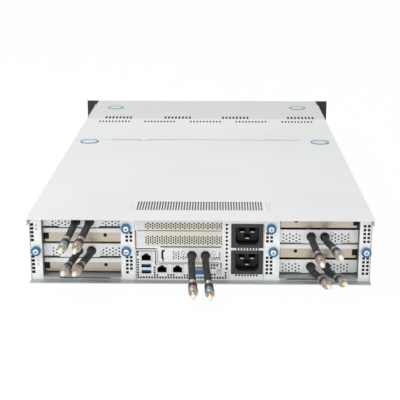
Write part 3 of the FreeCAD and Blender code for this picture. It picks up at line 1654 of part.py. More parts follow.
def power_module(word):
    """A power module: sheet case, fan grille, bent handle and the latch's slot."""
    row = POWER_ROWS[word]
    x, z = power_corner(row)
    body = new_body(f"power_{word}_body")
    width = S.power_width
    height = S.power_height
    slab(body, "XZ", FRONT - S.power_length, [rectangle(x, z, x + width, z + height)], S.power_length)
    # the fan's grille: concentric arcs are made as short slots round the hub
    grille_x = x + 24.0
    middle = z + height / 2
    well = sketch(body, "XZ", FRONT, [regular(grille_x, middle, 17.0, 12)])
    pocket(body, well, 5.0, "XZ", forward=False)
    slab(body, "XZ", FRONT - 5.2, [regular(grille_x, middle, 6.0, 8)], 4.6)
    spoke = oblong(grille_x, middle, 35.0, 1.4)
    slab(body, "XZ", FRONT - 2.0, [spoke], 1.4)
    cross = oblong(grille_x, middle, 1.4, 35.0)
    slab(body, "XZ", FRONT - 2.0, [cross], 1.4)
    # handle
    bar = S.power_handle_bar
    grip_left = x + 44.0
    grip_right = x + 60.0
    reach = FRONT + S.power_handle_reach
    bow = [
        (grip_left, FRONT - 1.0),
        (grip_left, reach - bar * 0.6),
        (grip_left + bar * 0.6, reach),
        (grip_right - bar * 0.6, reach),
        (grip_right, reach - bar * 0.6),
        (grip_right, FRONT - 1.0),
        (grip_right - bar, FRONT - 1.0),
        (grip_right - bar, reach - bar),
        (grip_left + bar, reach - bar),
        (grip_left + bar, FRONT - 1.0),
    ]
    drawn = sketch(body, "XY", middle, [bow])
    pad(body, drawn, height - 12.0, "XY", both=True)
    # the latch lies in a channel down the right of the face
    latch_x = x + width - S.latch_width - 1.0
    channel = rectangle(
        latch_x - 0.4, middle - S.latch_height / 2 - 0.5, x + width + 1, middle + S.latch_height / 2 + 0.5
    )
    pocket(body, sketch(body, "XZ", FRONT, [channel]), 9.0, "XZ", forward=False)
    pin = S.lever_pin + S.lever_pin_clearance
    bore = sketch(body, "XY", z + 2.0, [clear_bore(x + width - 5.4, FRONT - 5.4, pin)])
    pocket(body, bore, height - 4.0, "XY")
    return node(body, f"psu_{word}")


def power_latch(word):
    """The release lever of a power module, pivoted on an upright pin."""
    row = POWER_ROWS[word]
    x, z = power_corner(row)
    body = new_body(f"latch_{word}_body")
    middle = z + S.power_height / 2
    low = middle - S.latch_height / 2
    pin_x = x + S.power_width - 5.4
    pin_y = FRONT - 5.4
    half = 2.6
    arm = [
        (pin_x - half, pin_y - half * 0.5),
        (pin_x, pin_y - half),
        (pin_x + half, pin_y - half * 0.5),
        (pin_x + half, FRONT + 6.0),
        (pin_x + half - 1.2, FRONT + 7.2),
        (pin_x - half - 1.0, FRONT + 7.2),
        (pin_x - half - 1.0, FRONT + 5.2),
        (pin_x - half + 2.4, FRONT + 4.4),
        (pin_x - half + 2.4, FRONT - 1.0),
        (pin_x - half, pin_y + half * 0.5),
    ]
    slab(body, "XY", low, [arm], S.latch_height)
    pin = sketch(body, "XY", z + 2.8, discs=[(pin_x, pin_y, S.lever_pin)])
    pad(body, pin, S.power_height - 5.6, "XY")
    return node(body, f"psu_{word}_latch")


# The middle of each row of intake slots above the floor, and the row's height.
INTAKE_ROWS = ((11.0, 14.0), (61.0, 32.0))


def front_panel():
    """The front face: windows for drives and power, and slotted air intakes."""
    body = new_body("front_panel_body")
    low = FLOOR
    wall_top = WALL_TOP - S.joggle_drop
    high = wall_top - 0.2
    face = clear_of_hems(low, high, wall_top)
    drives = rectangle(
        S.drive_block_left - 0.5, S.drive_block_base - 0.5, DRIVE_RIGHT, DRIVE_TOP - 0.2
    )
    x, z = power_corner(0)
    _, upper = power_corner(1)
    power = rectangle(
        x - 0.4, low + 0.8, x + S.power_width + 0.4, upper + S.power_height + 0.4
    )
    slab(body, "XZ", FRONT - 1.6, [face, drives, power], 1.6)
    width = S.intake_slot_width
    step = S.intake_slot_pitch
    for start, count in ((-(INNER_HALF - 14), 3), (size(150.0), 4)):
        rows = [oblong(start, low + rise, width, height) for rise, height in INTAKE_ROWS]
        grid(body, pierce(body, "XZ", FRONT - 1, rows), "X", step, count)
    above = (DRIVE_TOP + high) / 2
    wide = oblong(S.drive_block_left + 10, above, width, high - DRIVE_TOP - 5)
    top_row = pierce(body, "XZ", FRONT - 1, [wide])
    grid(body, top_row, "X", step, 11)
    return node(body, "front_panel")


# ---------------------------------------------------------------------- the whole server

chassis_tray()
rear_cover()
front_cover()
cover_screws()
cage_thumbscrews()
rack_ears()
power_button()
card_cage(LEFT)
card_cage(RIGHT)
card_brackets()
card_parts()
rear_panel()
slot_blanks()
loop_bracket()
port_parts()
id_button()
power_inlets()
hose_boots()
hoses_and_couplings()
motherboard()
processor_parts()
coolant_tubes()
fan_frames()
for fan_number in range(1, FAN_COUNT + 1):
    fan_rotor(fan_number)
for tray_number, (tray_column, tray_row) in enumerate(TRAY_PLACES, start=1):
    drive_tray(tray_number, tray_column, tray_row)
    drive_lever(tray_number, tray_column, tray_row)
drive_cage()
drive_backplane()
power_cage()
for module_word in POWER_ROWS:
    power_module(module_word)
    power_latch(module_word)
front_panel()

doc.recompute()


def check_document():
    """Stop on anything that failed, lost its solid or cut nothing."""
    for thing in doc.Objects:
        if "Invalid" in thing.State or "Error" in thing.State:
            raise RuntimeError(f"{thing.Name} did not compute: {thing.State}")
        if thing.TypeId == "PartDesign::Pocket":
            before = thing.BaseFeature.Shape.Volume
            if thing.Shape.Volume > before - 1e-3:
                raise RuntimeError(f"{thing.Name} cut nothing")
    for name, thing in NODES.items():
        shape = thing.Shape
        if shape.isNull() or not shape.isValid() or not shape.Solids:
            raise RuntimeError(f"{name} has no valid solid")


check_document()
os.makedirs("parts", exist_ok=True)
for node_name, finished in NODES.items():
    finished.Shape.exportStep(os.path.join("parts", f"{node_name}.step"))
print(f"{len(NODES)} nodes written")
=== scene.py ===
"""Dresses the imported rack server: finishes, cooling hoses, screws, fine holes and studio.

Frame: metres, +Z up, the rear connectors face -Y and the rack ears face +Y. Places and sizes
in the tables below are in millimetres in that frame.
"""

from __future__ import annotations

import logging
import math
import operator
from dataclasses import dataclass, field, replace
from enum import Enum
from functools import cache, reduce
from itertools import accumulate

import bpy
from mathutils import Euler, Matrix, Vector


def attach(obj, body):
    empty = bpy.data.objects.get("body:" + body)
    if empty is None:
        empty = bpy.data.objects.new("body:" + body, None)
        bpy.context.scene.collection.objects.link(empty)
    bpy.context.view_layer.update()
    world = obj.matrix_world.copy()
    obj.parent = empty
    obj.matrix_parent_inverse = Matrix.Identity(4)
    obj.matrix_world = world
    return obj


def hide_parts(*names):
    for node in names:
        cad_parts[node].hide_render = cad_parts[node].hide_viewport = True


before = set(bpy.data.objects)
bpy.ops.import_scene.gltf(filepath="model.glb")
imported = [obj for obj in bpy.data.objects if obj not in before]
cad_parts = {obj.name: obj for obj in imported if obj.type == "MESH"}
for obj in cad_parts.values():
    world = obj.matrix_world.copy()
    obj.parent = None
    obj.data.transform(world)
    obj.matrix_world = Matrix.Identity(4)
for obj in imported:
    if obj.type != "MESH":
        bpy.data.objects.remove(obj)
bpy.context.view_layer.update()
LOG = logging.getLogger("rack_server")
MM = 0.001
FACING_REAR = Matrix.Rotation(math.pi / 2, 4, "X")

Triple = tuple[float, float, float]
Colour = tuple[float, float, float]
Step = tuple[float, float]


class Body(str, Enum):
    """The bodies that added pieces ride on."""

    CHASSIS = "chassis"
    REAR_LID = "rear_lid"
    FRONT_LID = "front_lid"


# --- node trees

class Socket:
    """An output of a node, which plain arithmetic combines with others."""

    def __init__(self, graph: Graph, output: bpy.types.NodeSocket) -> None:
        """Keep the output and the graph that it belongs to."""
        self.graph = graph
        self.output = output

    def __add__(self, other: Socket | float) -> Socket:
        """Add another output or a number."""
        return self.graph.math("ADD", self, other)

    def __sub__(self, other: Socket | float) -> Socket:
        """Take away another output or a number."""
        return self.graph.math("SUBTRACT", self, other)

    def __rsub__(self, other: float) -> Socket:
        """Take this away from a number."""
        return self.graph.math("SUBTRACT", other, self)

    def __mul__(self, other: Socket | float) -> Socket:
        """Multiply by another output or a number."""
        return self.graph.math("MULTIPLY", self, other)

    __radd__ = __add__
    __rmul__ = __mul__

    def __gt__(self, other: Socket | float) -> Socket:
        """One where this is above the other, else nought."""
        return self.graph.math("GREATER_THAN", self, other)

    def __lt__(self, other: Socket | float) -> Socket:
        """One where this is below the other, else nought."""
        return self.graph.math("LESS_THAN", self, other)

    def spread(self, low: float, high: float, start: float = 0.0, stop: float = 1.0) -> Socket:
        """Map the stretch from low to high onto start to stop, held at its ends."""
        return self.graph.node("ShaderNodeMapRange", {0: self, 1: low, 2: high, 3: start, 4: stop})


class Graph:
    """A node tree and the methods that add nodes to it."""

    def __init__(self, tree: bpy.types.NodeTree) -> None:
        """Keep the tree."""
        self.tree = tree

    def feed(self, target: bpy.types.NodeSocket, value: object) -> None:
        """Give an input an output to follow, or a plain value.

        Args:
            target: the input.
            value: an output or a plain value; a colour may leave its alpha out.
        """
        if isinstance(value, Socket):
            self.tree.links.new(value.output, target)
        else:
            bare_colour = target.type == "RGBA" and len(value) == 3
            target.default_value = (*value, 1.0) if bare_colour else value

    def node(
        self, kind: str, inputs: dict | None = None, output: int | str = 0, **settings: object
    ) -> Socket:
        """Add a node.

        Args:
            kind: the node's type.
            inputs: socket index or name to an output or a plain value.
            output: the output to return.
            settings: attributes of the node.

        Returns:
            The chosen output.
        """
        made = self.tree.nodes.new(kind)
        for name, value in settings.items():
            setattr(made, name, value)
        for key, value in (inputs or {}).items():
            self.feed(made.inputs[key], value)
        return Socket(self, made.outputs[output])

    def math(self, operation: str, first: Socket | float, second: Socket | float = 0.0) -> Socket:
        """Combine two numbers with a Math node."""
        return self.node("ShaderNodeMath", {0: first, 1: second}, operation=operation)


@dataclass
class Channels:
    """What a finish gives the shader: outputs where it varies, numbers where it doesn't."""

    colour: Socket | Colour
    roughness: Socket | float
    metallic: Socket | float = 0.0
    height: Socket | None = None


class Surface(Graph):
    """The node tree of one material."""

    def __init__(self, name: str) -> None:
        """Make the material with its plain shader.

        Args:
            name: the material's name.
        """
        self.material = bpy.data.materials.new(name)
        self.material.use_nodes = True
        super().__init__(self.material.node_tree)
        self.shader = self.tree.nodes["Principled BSDF"]
        self.place = self.node("ShaderNodeTexCoord", output="Object")
        self.axes = [self.node("ShaderNodeSeparateXYZ", {0: self.place}, axis) for axis in "XYZ"]

    def noise(self, scale: float, detail: float = 2.0, stretch: Triple = (1, 1, 1)) -> Socket:
        """Noise in object space.

        Args:
            scale: features in a metre.
            detail: octaves.
            stretch: how much finer it runs along each axis.

        Returns:
            Values about one half.
        """
        at = self.node("ShaderNodeMapping", {"Vector": self.place, "Scale": stretch})
        return self.node("ShaderNodeTexNoise", {"Vector": at, "Scale": scale, "Detail": detail})

    def tint(
        self, factor: Socket | float, first: Socket | Colour, second: Socket | Colour
    ) -> Socket:
        """Blend two colours."""
        return self.node("ShaderNodeMix", {0: factor, 6: first, 7: second}, 2, data_type="RGBA")

    def blend(self, factor: Socket, first: Socket | float, second: Socket | float) -> Socket:
        """Blend two numbers."""
        return self.node("ShaderNodeMix", {0: factor, 2: first, 3: second}, 0)

    def inside(self, zones: tuple[Zone, ...]) -> Socket:
        """Mark the inside of some boxes.

        Args:
            zones: the boxes.

        Returns:
            One inside any of them, else nought.
        """
        masks = []
        for zone in zones:
            tests = []
            for axis, (low, high) in zip(self.axes, (zone.x, zone.y, zone.z)):
                tests += [] if low is None else [axis > low * MM]
                tests += [] if high is None else [axis < high * MM]
            masks.append(reduce(operator.mul, tests))
        return reduce(lambda one, other: self.math("MAXIMUM", one, other), masks)

    def finish(self, made: Channels, relief: float) -> bpy.types.Material:
        """Connect the channels to the shader.

        Args:
            made: the channels.
            relief: the depth of the bump, in metres.

        Returns:
            The material.
        """
        self.feed(self.shader.inputs["Base Color"], made.colour)
        self.feed(self.shader.inputs["Roughness"], made.roughness)
        self.feed(self.shader.inputs["Metallic"], made.metallic)
        if made.height is not None:
            bump = self.node("ShaderNodeBump", {"Height": made.height, "Distance": relief})
            self.feed(self.shader.inputs["Normal"], bump)
        return self.material


@dataclass(frozen=True)
class Zone:
    """A box that a second finish fills, open where a side is None."""

    x: tuple[float | None, float | None] = (None, None)
    y: tuple[float | None, float | None] = (None, None)
    z: tuple[float | None, float | None] = (None, None)


# --- finishes

NOISE_SPAN = (0.3, 0.7)  # where most of a noise texture's values lie


def shaded(colour: Colour, factor: float, lift: float = 0.0) -> Colour:
    """A colour made darker or brighter by a factor, then lifted by a little."""
    return tuple(min(1.0, channel * factor + lift) for channel in colour)


@dataclass(frozen=True)
class RolledSheet:
    """Plated sheet steel, with rolling streaks along one axis and a soft sheen."""

    colour: Colour
    metallic: float = 0.5
    roughness: float = 0.36
    grain: Triple = (1, 12, 40)
    contrast: float = 0.1
    streak_scale: float = 22.0
    streak_share: float = 0.6
    cloud_scale: float = 14.0
    shade_span: tuple[float, float] = (0.35, 0.65)
    gloss: tuple[float, float] = (-0.08, 0.1)

    def channels(self, surface: Surface) -> Channels:
        """Make the finish on a surface.

        Args:
            surface: the material's node tree.

        Returns:
            The finish's channels.
        """
        streak = surface.noise(self.streak_scale, 4.0, self.grain)
        cloud = surface.noise(self.cloud_scale)
        mixed = streak * self.streak_share + cloud * (1 - self.streak_share)
        darker = shaded(self.colour, 1 - self.contrast)
        tinted = surface.tint(mixed.spread(*self.shade_span), darker, self.colour)
        rough = streak.spread(*NOISE_SPAN, *(self.roughness + step for step in self.gloss))
        return Channels(tinted, rough, self.metallic, streak)


@dataclass(frozen=True)
class Moulding:
    """Moulded plastic or rubber: a fine spark-eroded grain under clouds of a lighter tone."""

    colour: Colour
    roughness: float = 0.5
    variation: float = 0.12
    lift: float = 0.003
    grain_scale: float = 2200.0
    cloud_scale: float = 60.0
    gloss: tuple[float, float] = (-0.08, 0.08)

    def channels(self, surface: Surface) -> Channels:
        """Make the finish on a surface.

        Args:
            surface: the material's node tree.

        Returns:
            The finish's channels.
        """
        grain = surface.noise(self.grain_scale)
        cloud = surface.noise(self.cloud_scale, 3.0).spread(*NOISE_SPAN)
        tones = [self.colour, shaded(self.colour, 1 + self.variation, self.lift)]
        if self.variation < 0:
            tones.reverse()
        rough = grain.spread(*NOISE_SPAN, *(self.roughness + step for step in self.gloss))
        return Channels(surface.tint(cloud, *tones), rough, 0.0, grain)


@dataclass(frozen=True)
class PowderCoat(Moulding):
    """Paint baked on sheet: a pebbled skin under faint clouds of a darker tone."""

    roughness: float = 0.42
    variation: float = -0.06
    lift: float = 0.0
    grain_scale: float = 1500.0
    cloud_scale: float = 5.0
    gloss: tuple[float, float] = (-0.06, 0.08)


@dataclass(frozen=True)
class CircuitBoard:
    """Solder mask over copper tracks, with tinned pads."""

    colour: Colour = (0.008, 0.055, 0.03)
    tin: Colour = (0.55, 0.53, 0.48)
    tracks: float = 9.0
    track_from: float = 0.72
    track_gain: float = 1.9
    cell_scale: float = 210.0
    pad_scale: float = 900.0
    pads_from: float = 0.665
    pad_metal: float = 0.8
    roughness: tuple[float, float] = (0.42, 0.28)  # of the mask and of the pads

    def channels(self, surface: Surface) -> Channels:
        """Make the finish on a surface.

        Args:
            surface: the material's node tree.

        Returns:
            The finish's channels.
        """
        cells = surface.node(
            "ShaderNodeTexVoronoi",
            {"Vector": surface.place, "Scale": self.cell_scale},
            distance="MANHATTAN",
            feature="F1",
        )
        bands = cells * self.tracks
        track = (bands - surface.math("FLOOR", bands)) > self.track_from
        pads = surface.noise(self.pad_scale, 0.0) > self.pads_from
        mask = surface.tint(track, self.colour, shaded(self.colour, self.track_gain))
        tinned = surface.tint(pads, mask, self.tin)
        rough = pads.spread(0, 1, *self.roughness)
        return Channels(tinned, rough, pads * self.pad_metal, track + pads)


@dataclass(frozen=True)
class Braid:
    """A braided sleeve: crossing yarns whose crowns are painted pale in mottled patches, partly
    pale flecks and partly painted sheen, on the piece's own UV map.
    """

    colour: Colour = (0.013, 0.013, 0.014)
    fleck_and_sheen: Colour = (0.14, 0.135, 0.125)
    yarns: float = 9.0
    lay: float = 300.0
    mottle_scale: float = 750.0
    mottle_span: tuple[float, float] = (0.52, 0.66)
    crown_span: tuple[float, float] = (0.35, 1.0)
    roughness: float = 0.62

    def channels(self, surface: Surface) -> Channels:
        """Make the finish on a surface.

        Args:
            surface: the material's node tree.

        Returns:
            The finish's channels.
        """
        uv = surface.node("ShaderNodeUVMap")
        around, along = (surface.node("ShaderNodeSeparateXYZ", {0: uv}, axis) for axis in "XY")
        turn = around * (self.yarns * math.tau)
        run = along * (self.lay * math.tau)
        over = surface.math(
            "MAXIMUM", surface.math("SINE", turn + run), surface.math("SINE", turn - run)
        )
        mottled = surface.noise(self.mottle_scale, 3.0).spread(*self.mottle_span)
        # Painted sheen: the crowns of the yarns are painted pale where the mottle is high, which
        # also stands for the pale flecks.
        sheen_and_flecks = over.spread(*self.crown_span) * mottled
        return Channels(surface.tint(sheen_and_flecks, self.colour, self.fleck_and_sheen), self.roughness, 0.0, over)


Finish = RolledSheet | Moulding | CircuitBoard | Braid


@dataclass(frozen=True)
class Dressing:
    """A material: one finish, and others that take over inside zones."""

    name: str
    base: Finish
    relief: float = 0.00003
    extras: tuple[tuple[Finish, tuple[Zone, ...]], ...] = ()

    def over(self, finish: Finish, *zones: Zone) -> Dressing:
        """This dressing with another finish inside some zones."""
        return replace(self, extras=(*self.extras, (finish, zones)))

    @cache
    def material(self) -> bpy.types.Material:
        """Make the material, once.

        Returns:
            The material.
        """
        surface = Surface(self.name)
        made = self.base.channels(surface)
        for finish, zones in self.extras:
            mask = surface.inside(zones)
            other = finish.channels(surface)
            made = Channels(
                surface.tint(mask, made.colour, other.colour),
                surface.blend(mask, made.roughness, other.roughness),
                surface.blend(mask, made.metallic, other.metallic),
                made.height,
            )
        return surface.finish(made, self.relief)


BLACK = Moulding((0.012, 0.012, 0.013), 0.45)
DEEP_BLACK = Moulding((0.004, 0.004, 0.004), 0.8)
STEEL = RolledSheet((0.72, 0.72, 0.71), 0.9, 0.3, (30, 1, 30))
USB_BLUE = Moulding((0.01, 0.12, 0.42), 0.4)
CAGE_SHEET = RolledSheet((0.90, 0.91, 0.91), 0.15, 0.4, (8, 8, 40), 0.05)

STEP_VENTS = (-162.5, -52.5, 54.5, 175.5)
BACK_VENTS = (-166.5, -84, -0.5, 82.5, 166)
# Painted shade: the walls of the front cover's vent slots, just under its top, are painted near
# black for the shade inside the slots.
VENT_WALL_SHADE = (
    *(Zone((x - 25.5, x + 25.5), (204.4, 227.6), (84.6, 85.62)) for x in STEP_VENTS),
    *(Zone((x - 29, x + 29), (170.4, 185.6), (85.4, 86.42)) for x in BACK_VENTS),
)
# Painted shade: the front cover beyond its joggle is painted in a darker copy of its paint, for
# the shade on that field.
FRONT_FIELD_SHADE = Zone(y=(203.4, None))
# Painted shade: the walls of the grille's slots, just under the rear cover's top, are painted dark
# grey for the shade inside the slots.
GRILLE_WALL_SHADE = Zone((-84.5, 81.5), (-376.5, -336.5), (85.4, 86.42))
BAY_LIP = tuple(Zone(x, (None, -391.6), (None, 6.2)) for x in ((-202.6, -102.6), (102.6, 202.6)))
# Painted shadow: the inner side walls of the card bays are painted dark grey, for the shadow that
# falls on them.
BAY_WALL_SHADE = tuple(Zone(x, (-403.6, None)) for x in ((-205, -202.2), (202.2, 205)))
BARE_PLATE = (Zone(x=(None, -70.6)), Zone(z=(79.6, None)))
# Painted shade: the jack and USB shells are painted deep black behind the rear face, for the shade
# inside the sockets.
SOCKET_SHADE = Zone(y=(-405, None))
USB_TONGUES = tuple(
    Zone((-75, -63.8), (-404.2, -391.6), span) for span in ((20.4, 22.4), (12.2, 14.3))
)
VIDEO_TONGUE = Zone((-8.3, 5.1), (None, -409.8), (10.6, 16.6))
# Painted shade: the inlet's well, blades included, is painted deeper black than its housing, for
# the shade in the recess.
INLET_WELL_SHADE = Zone((45, 75.5), (-405.5, -388), (14.1, 73.5))
INLET_X = 60.1
INLET_HEIGHTS = (25.9, 61.5)
# Painted highlight: the blades are real metal, but only on a small patch of each blade where its
# glint shows; the rest of each blade keeps the well's painted shade.
GLINT_HALF_WIDTH = 2.2
BLADES = ((-6.5, 4), (6.5, 4), (0, -4.4))  # across and up from an inlet's middle
INLET_BLADE_GLINTS = tuple(
    Zone(
        (INLET_X + across - GLINT_HALF_WIDTH, INLET_X + across + GLINT_HALF_WIDTH),
        (-402.5, -388),
        (middle + up - 0.5, middle + up + 0.9),
    )
    for middle in INLET_HEIGHTS
    for across, up in BLADES
)

ZINC = Dressing("zinc_sheet", RolledSheet((0.50, 0.53, 0.54), 0.55, 0.44, (10, 1, 10)))
CAGE = Dressing("cage_sheet", CAGE_SHEET)
PANEL = Dressing("panel_sheet", RolledSheet((0.82, 0.82, 0.80), 0.15, 0.42, (8, 8, 40), 0.05))
COVER = Dressing("rear_cover_paint", PowderCoat((0.80, 0.82, 0.815))).over(
    # painted shade on the walls of the grille's slots
    Moulding((0.17, 0.175, 0.175), 0.6), GRILLE_WALL_SHADE
)
FRONT_COVER = (
    Dressing("front_cover_paint", PowderCoat((0.80, 0.82, 0.805)))
    # painted shade on the front field
    .over(PowderCoat((0.69, 0.70, 0.69)), FRONT_FIELD_SHADE)
    # painted shade on the walls of the vent slots
    .over(Moulding((0.025, 0.025, 0.026), 0.6), *VENT_WALL_SHADE)
)
CARD_CAGE = (
    Dressing("card_cage_sheet", CAGE_SHEET)
    .over(RolledSheet((0.52, 0.54, 0.55), 0.5, 0.4, (10, 1, 10), 0.12), *BAY_LIP)
    # painted shadow on the bays' inner side walls
    .over(RolledSheet((0.26, 0.27, 0.28), 0.3, 0.5, (8, 8, 40), 0.1), *BAY_WALL_SHADE)
)
EAR = Dressing("ear_paint", PowderCoat((0.018, 0.019, 0.021), 0.4, -0.4))
BLANK = Dressing(
    "blank_sheet", RolledSheet((0.71, 0.69, 0.60), 0.2, 0.38, (1, 8, 30), 0.06)
).over(RolledSheet((0.75, 0.76, 0.755), 0.2, 0.38, (1, 8, 30), 0.05), *BARE_PLATE)
NICKEL = Dressing(
    "nickelled_bar", RolledSheet((0.58, 0.51, 0.42), 0.8, 0.27, (1, 3, 6), 0.06), 0.000004
)
BOARD = Dressing("circuit_board", CircuitBoard())
CARD_BOARD = Dressing("card_board", CircuitBoard()).over(
    RolledSheet((0.62, 0.60, 0.56), 0.3, 0.45), Zone(y=(None, -384.0))
)
RUBBER = Dressing("boot_rubber", Moulding((0.01, 0.01, 0.01), 0.62))
BLACK_PLASTIC = Dressing("black_plastic", BLACK)
HOLE = Dressing("hole_shadow", DEEP_BLACK)
WARM_HOLE = Dressing("warm_hole_shadow", Moulding((0.012, 0.009, 0.006), 0.8))
# Painted shade: pale grey for the faint shade in shallow grooves on the cover.
PALE_GROOVE_SHADE = Dressing("pale_groove_shadow", Moulding((0.52, 0.54, 0.55), 0.6))
GROOVE = Dressing("groove_shadow", Moulding((0.045, 0.045, 0.042), 0.8))
SOFT_GROOVE = Dressing("soft_groove_shadow", Moulding((0.20, 0.205, 0.205), 0.7))
PORT_CREAM = Dressing("port_cream", Moulding((0.82, 0.80, 0.62), 0.5))
PORT_GREEN = Dressing("port_green", Moulding((0.05, 0.20, 0.04), 0.5))
RING_PAINT = Dressing("cover_ring_blue", Moulding((0.055, 0.17, 0.32), 0.4))
# Painted shade: dark sheets under the front cover's vents, for the shade seen through the slots.
VENT_SHADE_SHEET = Dressing("vent_shade_sheet", Moulding((0.022, 0.022, 0.024), 0.7))
# Painted shade: a mid-grey sheet under the rear cover's grille, for the shaded inside seen through
# its slots.
GRILLE_SHADE_SHEET = Dressing("grille_shade_sheet", Moulding((0.26, 0.265, 0.265), 0.7))
BLUE = Dressing("blue_grip", Moulding((0.012, 0.145, 0.31), 0.34))
SCREW_FACE = Dressing("screw_face", RolledSheet((0.80, 0.85, 0.88), 0.3, 0.3, (20, 20, 20)))
PLATED = Dressing("plated_tube", RolledSheet((0.70, 0.70, 0.69), 0.85, 0.24, (20, 1, 20)))
MILLED = Dressing("milled_plate", RolledSheet((0.66, 0.66, 0.66), 0.85, 0.3, (1, 60, 1)))
EVEN_GRAIN = (60, 60, 60)
STEEL_BAND = Dressing(
    "coupling_steel", RolledSheet((0.50, 0.49, 0.47), 0.9, 0.3, EVEN_GRAIN, 0.35)
)
RED_RING = Dressing("red_ring", RolledSheet((0.56, 0.26, 0.19), 0.45, 0.32, EVEN_GRAIN, 0.25))
BLUE_RING = Dressing("blue_ring", RolledSheet((0.15, 0.27, 0.37), 0.45, 0.32, EVEN_GRAIN, 0.25))
BRASS = Dressing("stem_brass", RolledSheet((0.50, 0.40, 0.26), 0.9, 0.3, (20, 20, 20)))
IVORY = Dressing("ivory_cap", Moulding((0.80, 0.76, 0.66), 0.42, 0.05))
BRAID = Dressing("hose_braid", Braid(), 0.0004)
DRIVE = Dressing("drive_tray", RolledSheet((0.42, 0.43, 0.44), 0.75, 0.42, (1, 30, 1))).over(
    BLACK, Zone(y=(373.9, None))
)
MODULE = Dressing("power_module", RolledSheet((0.52, 0.54, 0.55), 0.65, 0.46, (1, 20, 20))).over(
    BLACK, Zone(y=(383.05, None)), Zone(x=(68, 104), y=(376, 382.5))
)
MEMORY = Dressing("memory_module", CircuitBoard((0.006, 0.04, 0.02))).over(
    BLACK, Zone(z=(None, 17.5)), Zone(z=(23, 36))
)
# painted shade inside the jack and USB sockets
JACKS = Dressing("jack_shell", STEEL).over(DEEP_BLACK, SOCKET_SHADE)
USB = Dressing("usb_shell", STEEL).over(DEEP_BLACK, SOCKET_SHADE).over(USB_BLUE, *USB_TONGUES)
VIDEO = Dressing("video_socket", STEEL).over(USB_BLUE, VIDEO_TONGUE)
INLET = (
    Dressing("inlet_housing", Moulding((0.017, 0.018, 0.019), 0.5))
    # painted shade in the inlet's well
    .over(DEEP_BLACK, INLET_WELL_SHADE)
    # blade metal on the glint patches only, a painted highlight
    .over(RolledSheet((0.42, 0.42, 0.41), 1.0, 0.3, (20, 20, 20)), *INLET_BLADE_GLINTS)
)

DRESSED_NODES = {
    ZINC: "chassis_tray drive_cage power_cage",
    COVER: "rear_cover",
    FRONT_COVER: "front_cover",
    EAR: "rack_ears",
    SCREW_FACE: "power_button id_button",
    CARD_CAGE: "left_card_cage right_card_cage",
    CAGE: "card_brackets front_panel",
    CARD_BOARD: "card_boards",
    NICKEL: "card_cold_plates",
    BOARD: "riser_boards motherboard drive_backplane",
    PANEL: "rear_panel loop_bracket",
    BLANK: "slot_blanks",
    JACKS: "network_jacks",
    USB: "usb_sockets",
    VIDEO: "video_socket",
    INLET: "power_inlets",
    RUBBER: "hose_boots",
    MILLED: "processor_cold_plates",
    MEMORY: "memory_modules",
    PLATED: "coolant_tubes",
    MODULE: "psu_lower psu_upper",
    BLUE: "psu_lower_latch psu_upper_latch",
    BLACK_PLASTIC: "fan_frames",
}
NUMBERED_NODES = {"fan_rotor": BLACK_PLASTIC, "drive_lever": BLACK_PLASTIC, "drive_tray": DRIVE}


def dress_nodes() -> None:
    """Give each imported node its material."""
    pairs = [(name, dressing) for dressing, row in DRESSED_NODES.items() for name in row.split()]
    pairs += [(f"{name}_{n}", look) for name, look in NUMBERED_NODES.items() for n in range(1, 5)]
    for name, dressing in pairs:
        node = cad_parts[name]
        node.data.materials.clear()
        node.data.materials.append(dressing.material())
    LOG.info("%d nodes dressed", len(pairs))


# --- meshes of pieces

def add_object(name: str, data: bpy.types.ID) -> bpy.types.Object:
    """Put an object of some data in the scene, at its origin.

    Args:
        name: the object's name.
        data: a mesh, curve, lamp or camera.

    Returns:
        The object.
    """
    made = bpy.data.objects.new(name, data)
    bpy.context.scene.collection.objects.link(made)
    return made


def moved_to(x: float, y: float, z: float) -> Matrix:
    """A shift by a place in millimetres."""
    return Matrix.Translation(Vector((x, y, z)) * MM)


def mesh_from(
    name: str, points: list[Vector], faces: list[tuple[int, ...]], *materials: bpy.types.Material
) -> bpy.types.Mesh:
    """A flat-shaded mesh from its points and faces.

    Args:
        name: the mesh's name.
        points: vertices in metres.
        faces: vertex numbers, outwards by the right-hand rule.
        materials: its material slots, of which every face has the first.

    Returns:
        The mesh.
    """
    mesh = bpy.data.meshes.new(name)
    mesh.from_pydata([tuple(p) for p in points], [], faces)
    for material in materials:
        mesh.materials.append(material)
    mesh.update()
    return mesh


def ring_faces(rings: int, sides: int) -> list[tuple[int, ...]]:
    """The faces of a closed skin over rings of points.

    Args:
        rings: how many rings there are.
        sides: how many points each has.

    Returns:
        The sides, ring after ring, then the first cap and the last one.
    """
    faces: list[tuple[int, ...]] = []
    for low in range(0, (rings - 1) * sides, sides):
        high = low + sides
        for n in range(sides):
            after = (n + 1) % sides
            faces.append((low + n, low + after, high + after, high + n))
    last = (rings - 1) * sides
    return [*faces, tuple(reversed(range(sides))), tuple(range(last, last + sides))]


def join(name: str, objects: list[bpy.types.Object], body: Body) -> bpy.types.Object:
    """Join objects into one piece that rides on a body.

    Args:
        name: the piece's name.
        objects: what is joined; they are used up.
        body: the body that carries the piece.

    Returns:
        The piece.
    """
    bpy.ops.object.select_all(action="DESELECT")
    for one in objects:
        one.select_set(True)
    bpy.context.view_layer.objects.active = objects[0]
    if len(objects) > 1:
        bpy.ops.object.join()
    piece = bpy.context.view_layer.objects.active
    piece.name = name
    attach(piece, body.value)
    LOG.info("%s: %d faces", name, len(piece.data.polygons))
    return piece


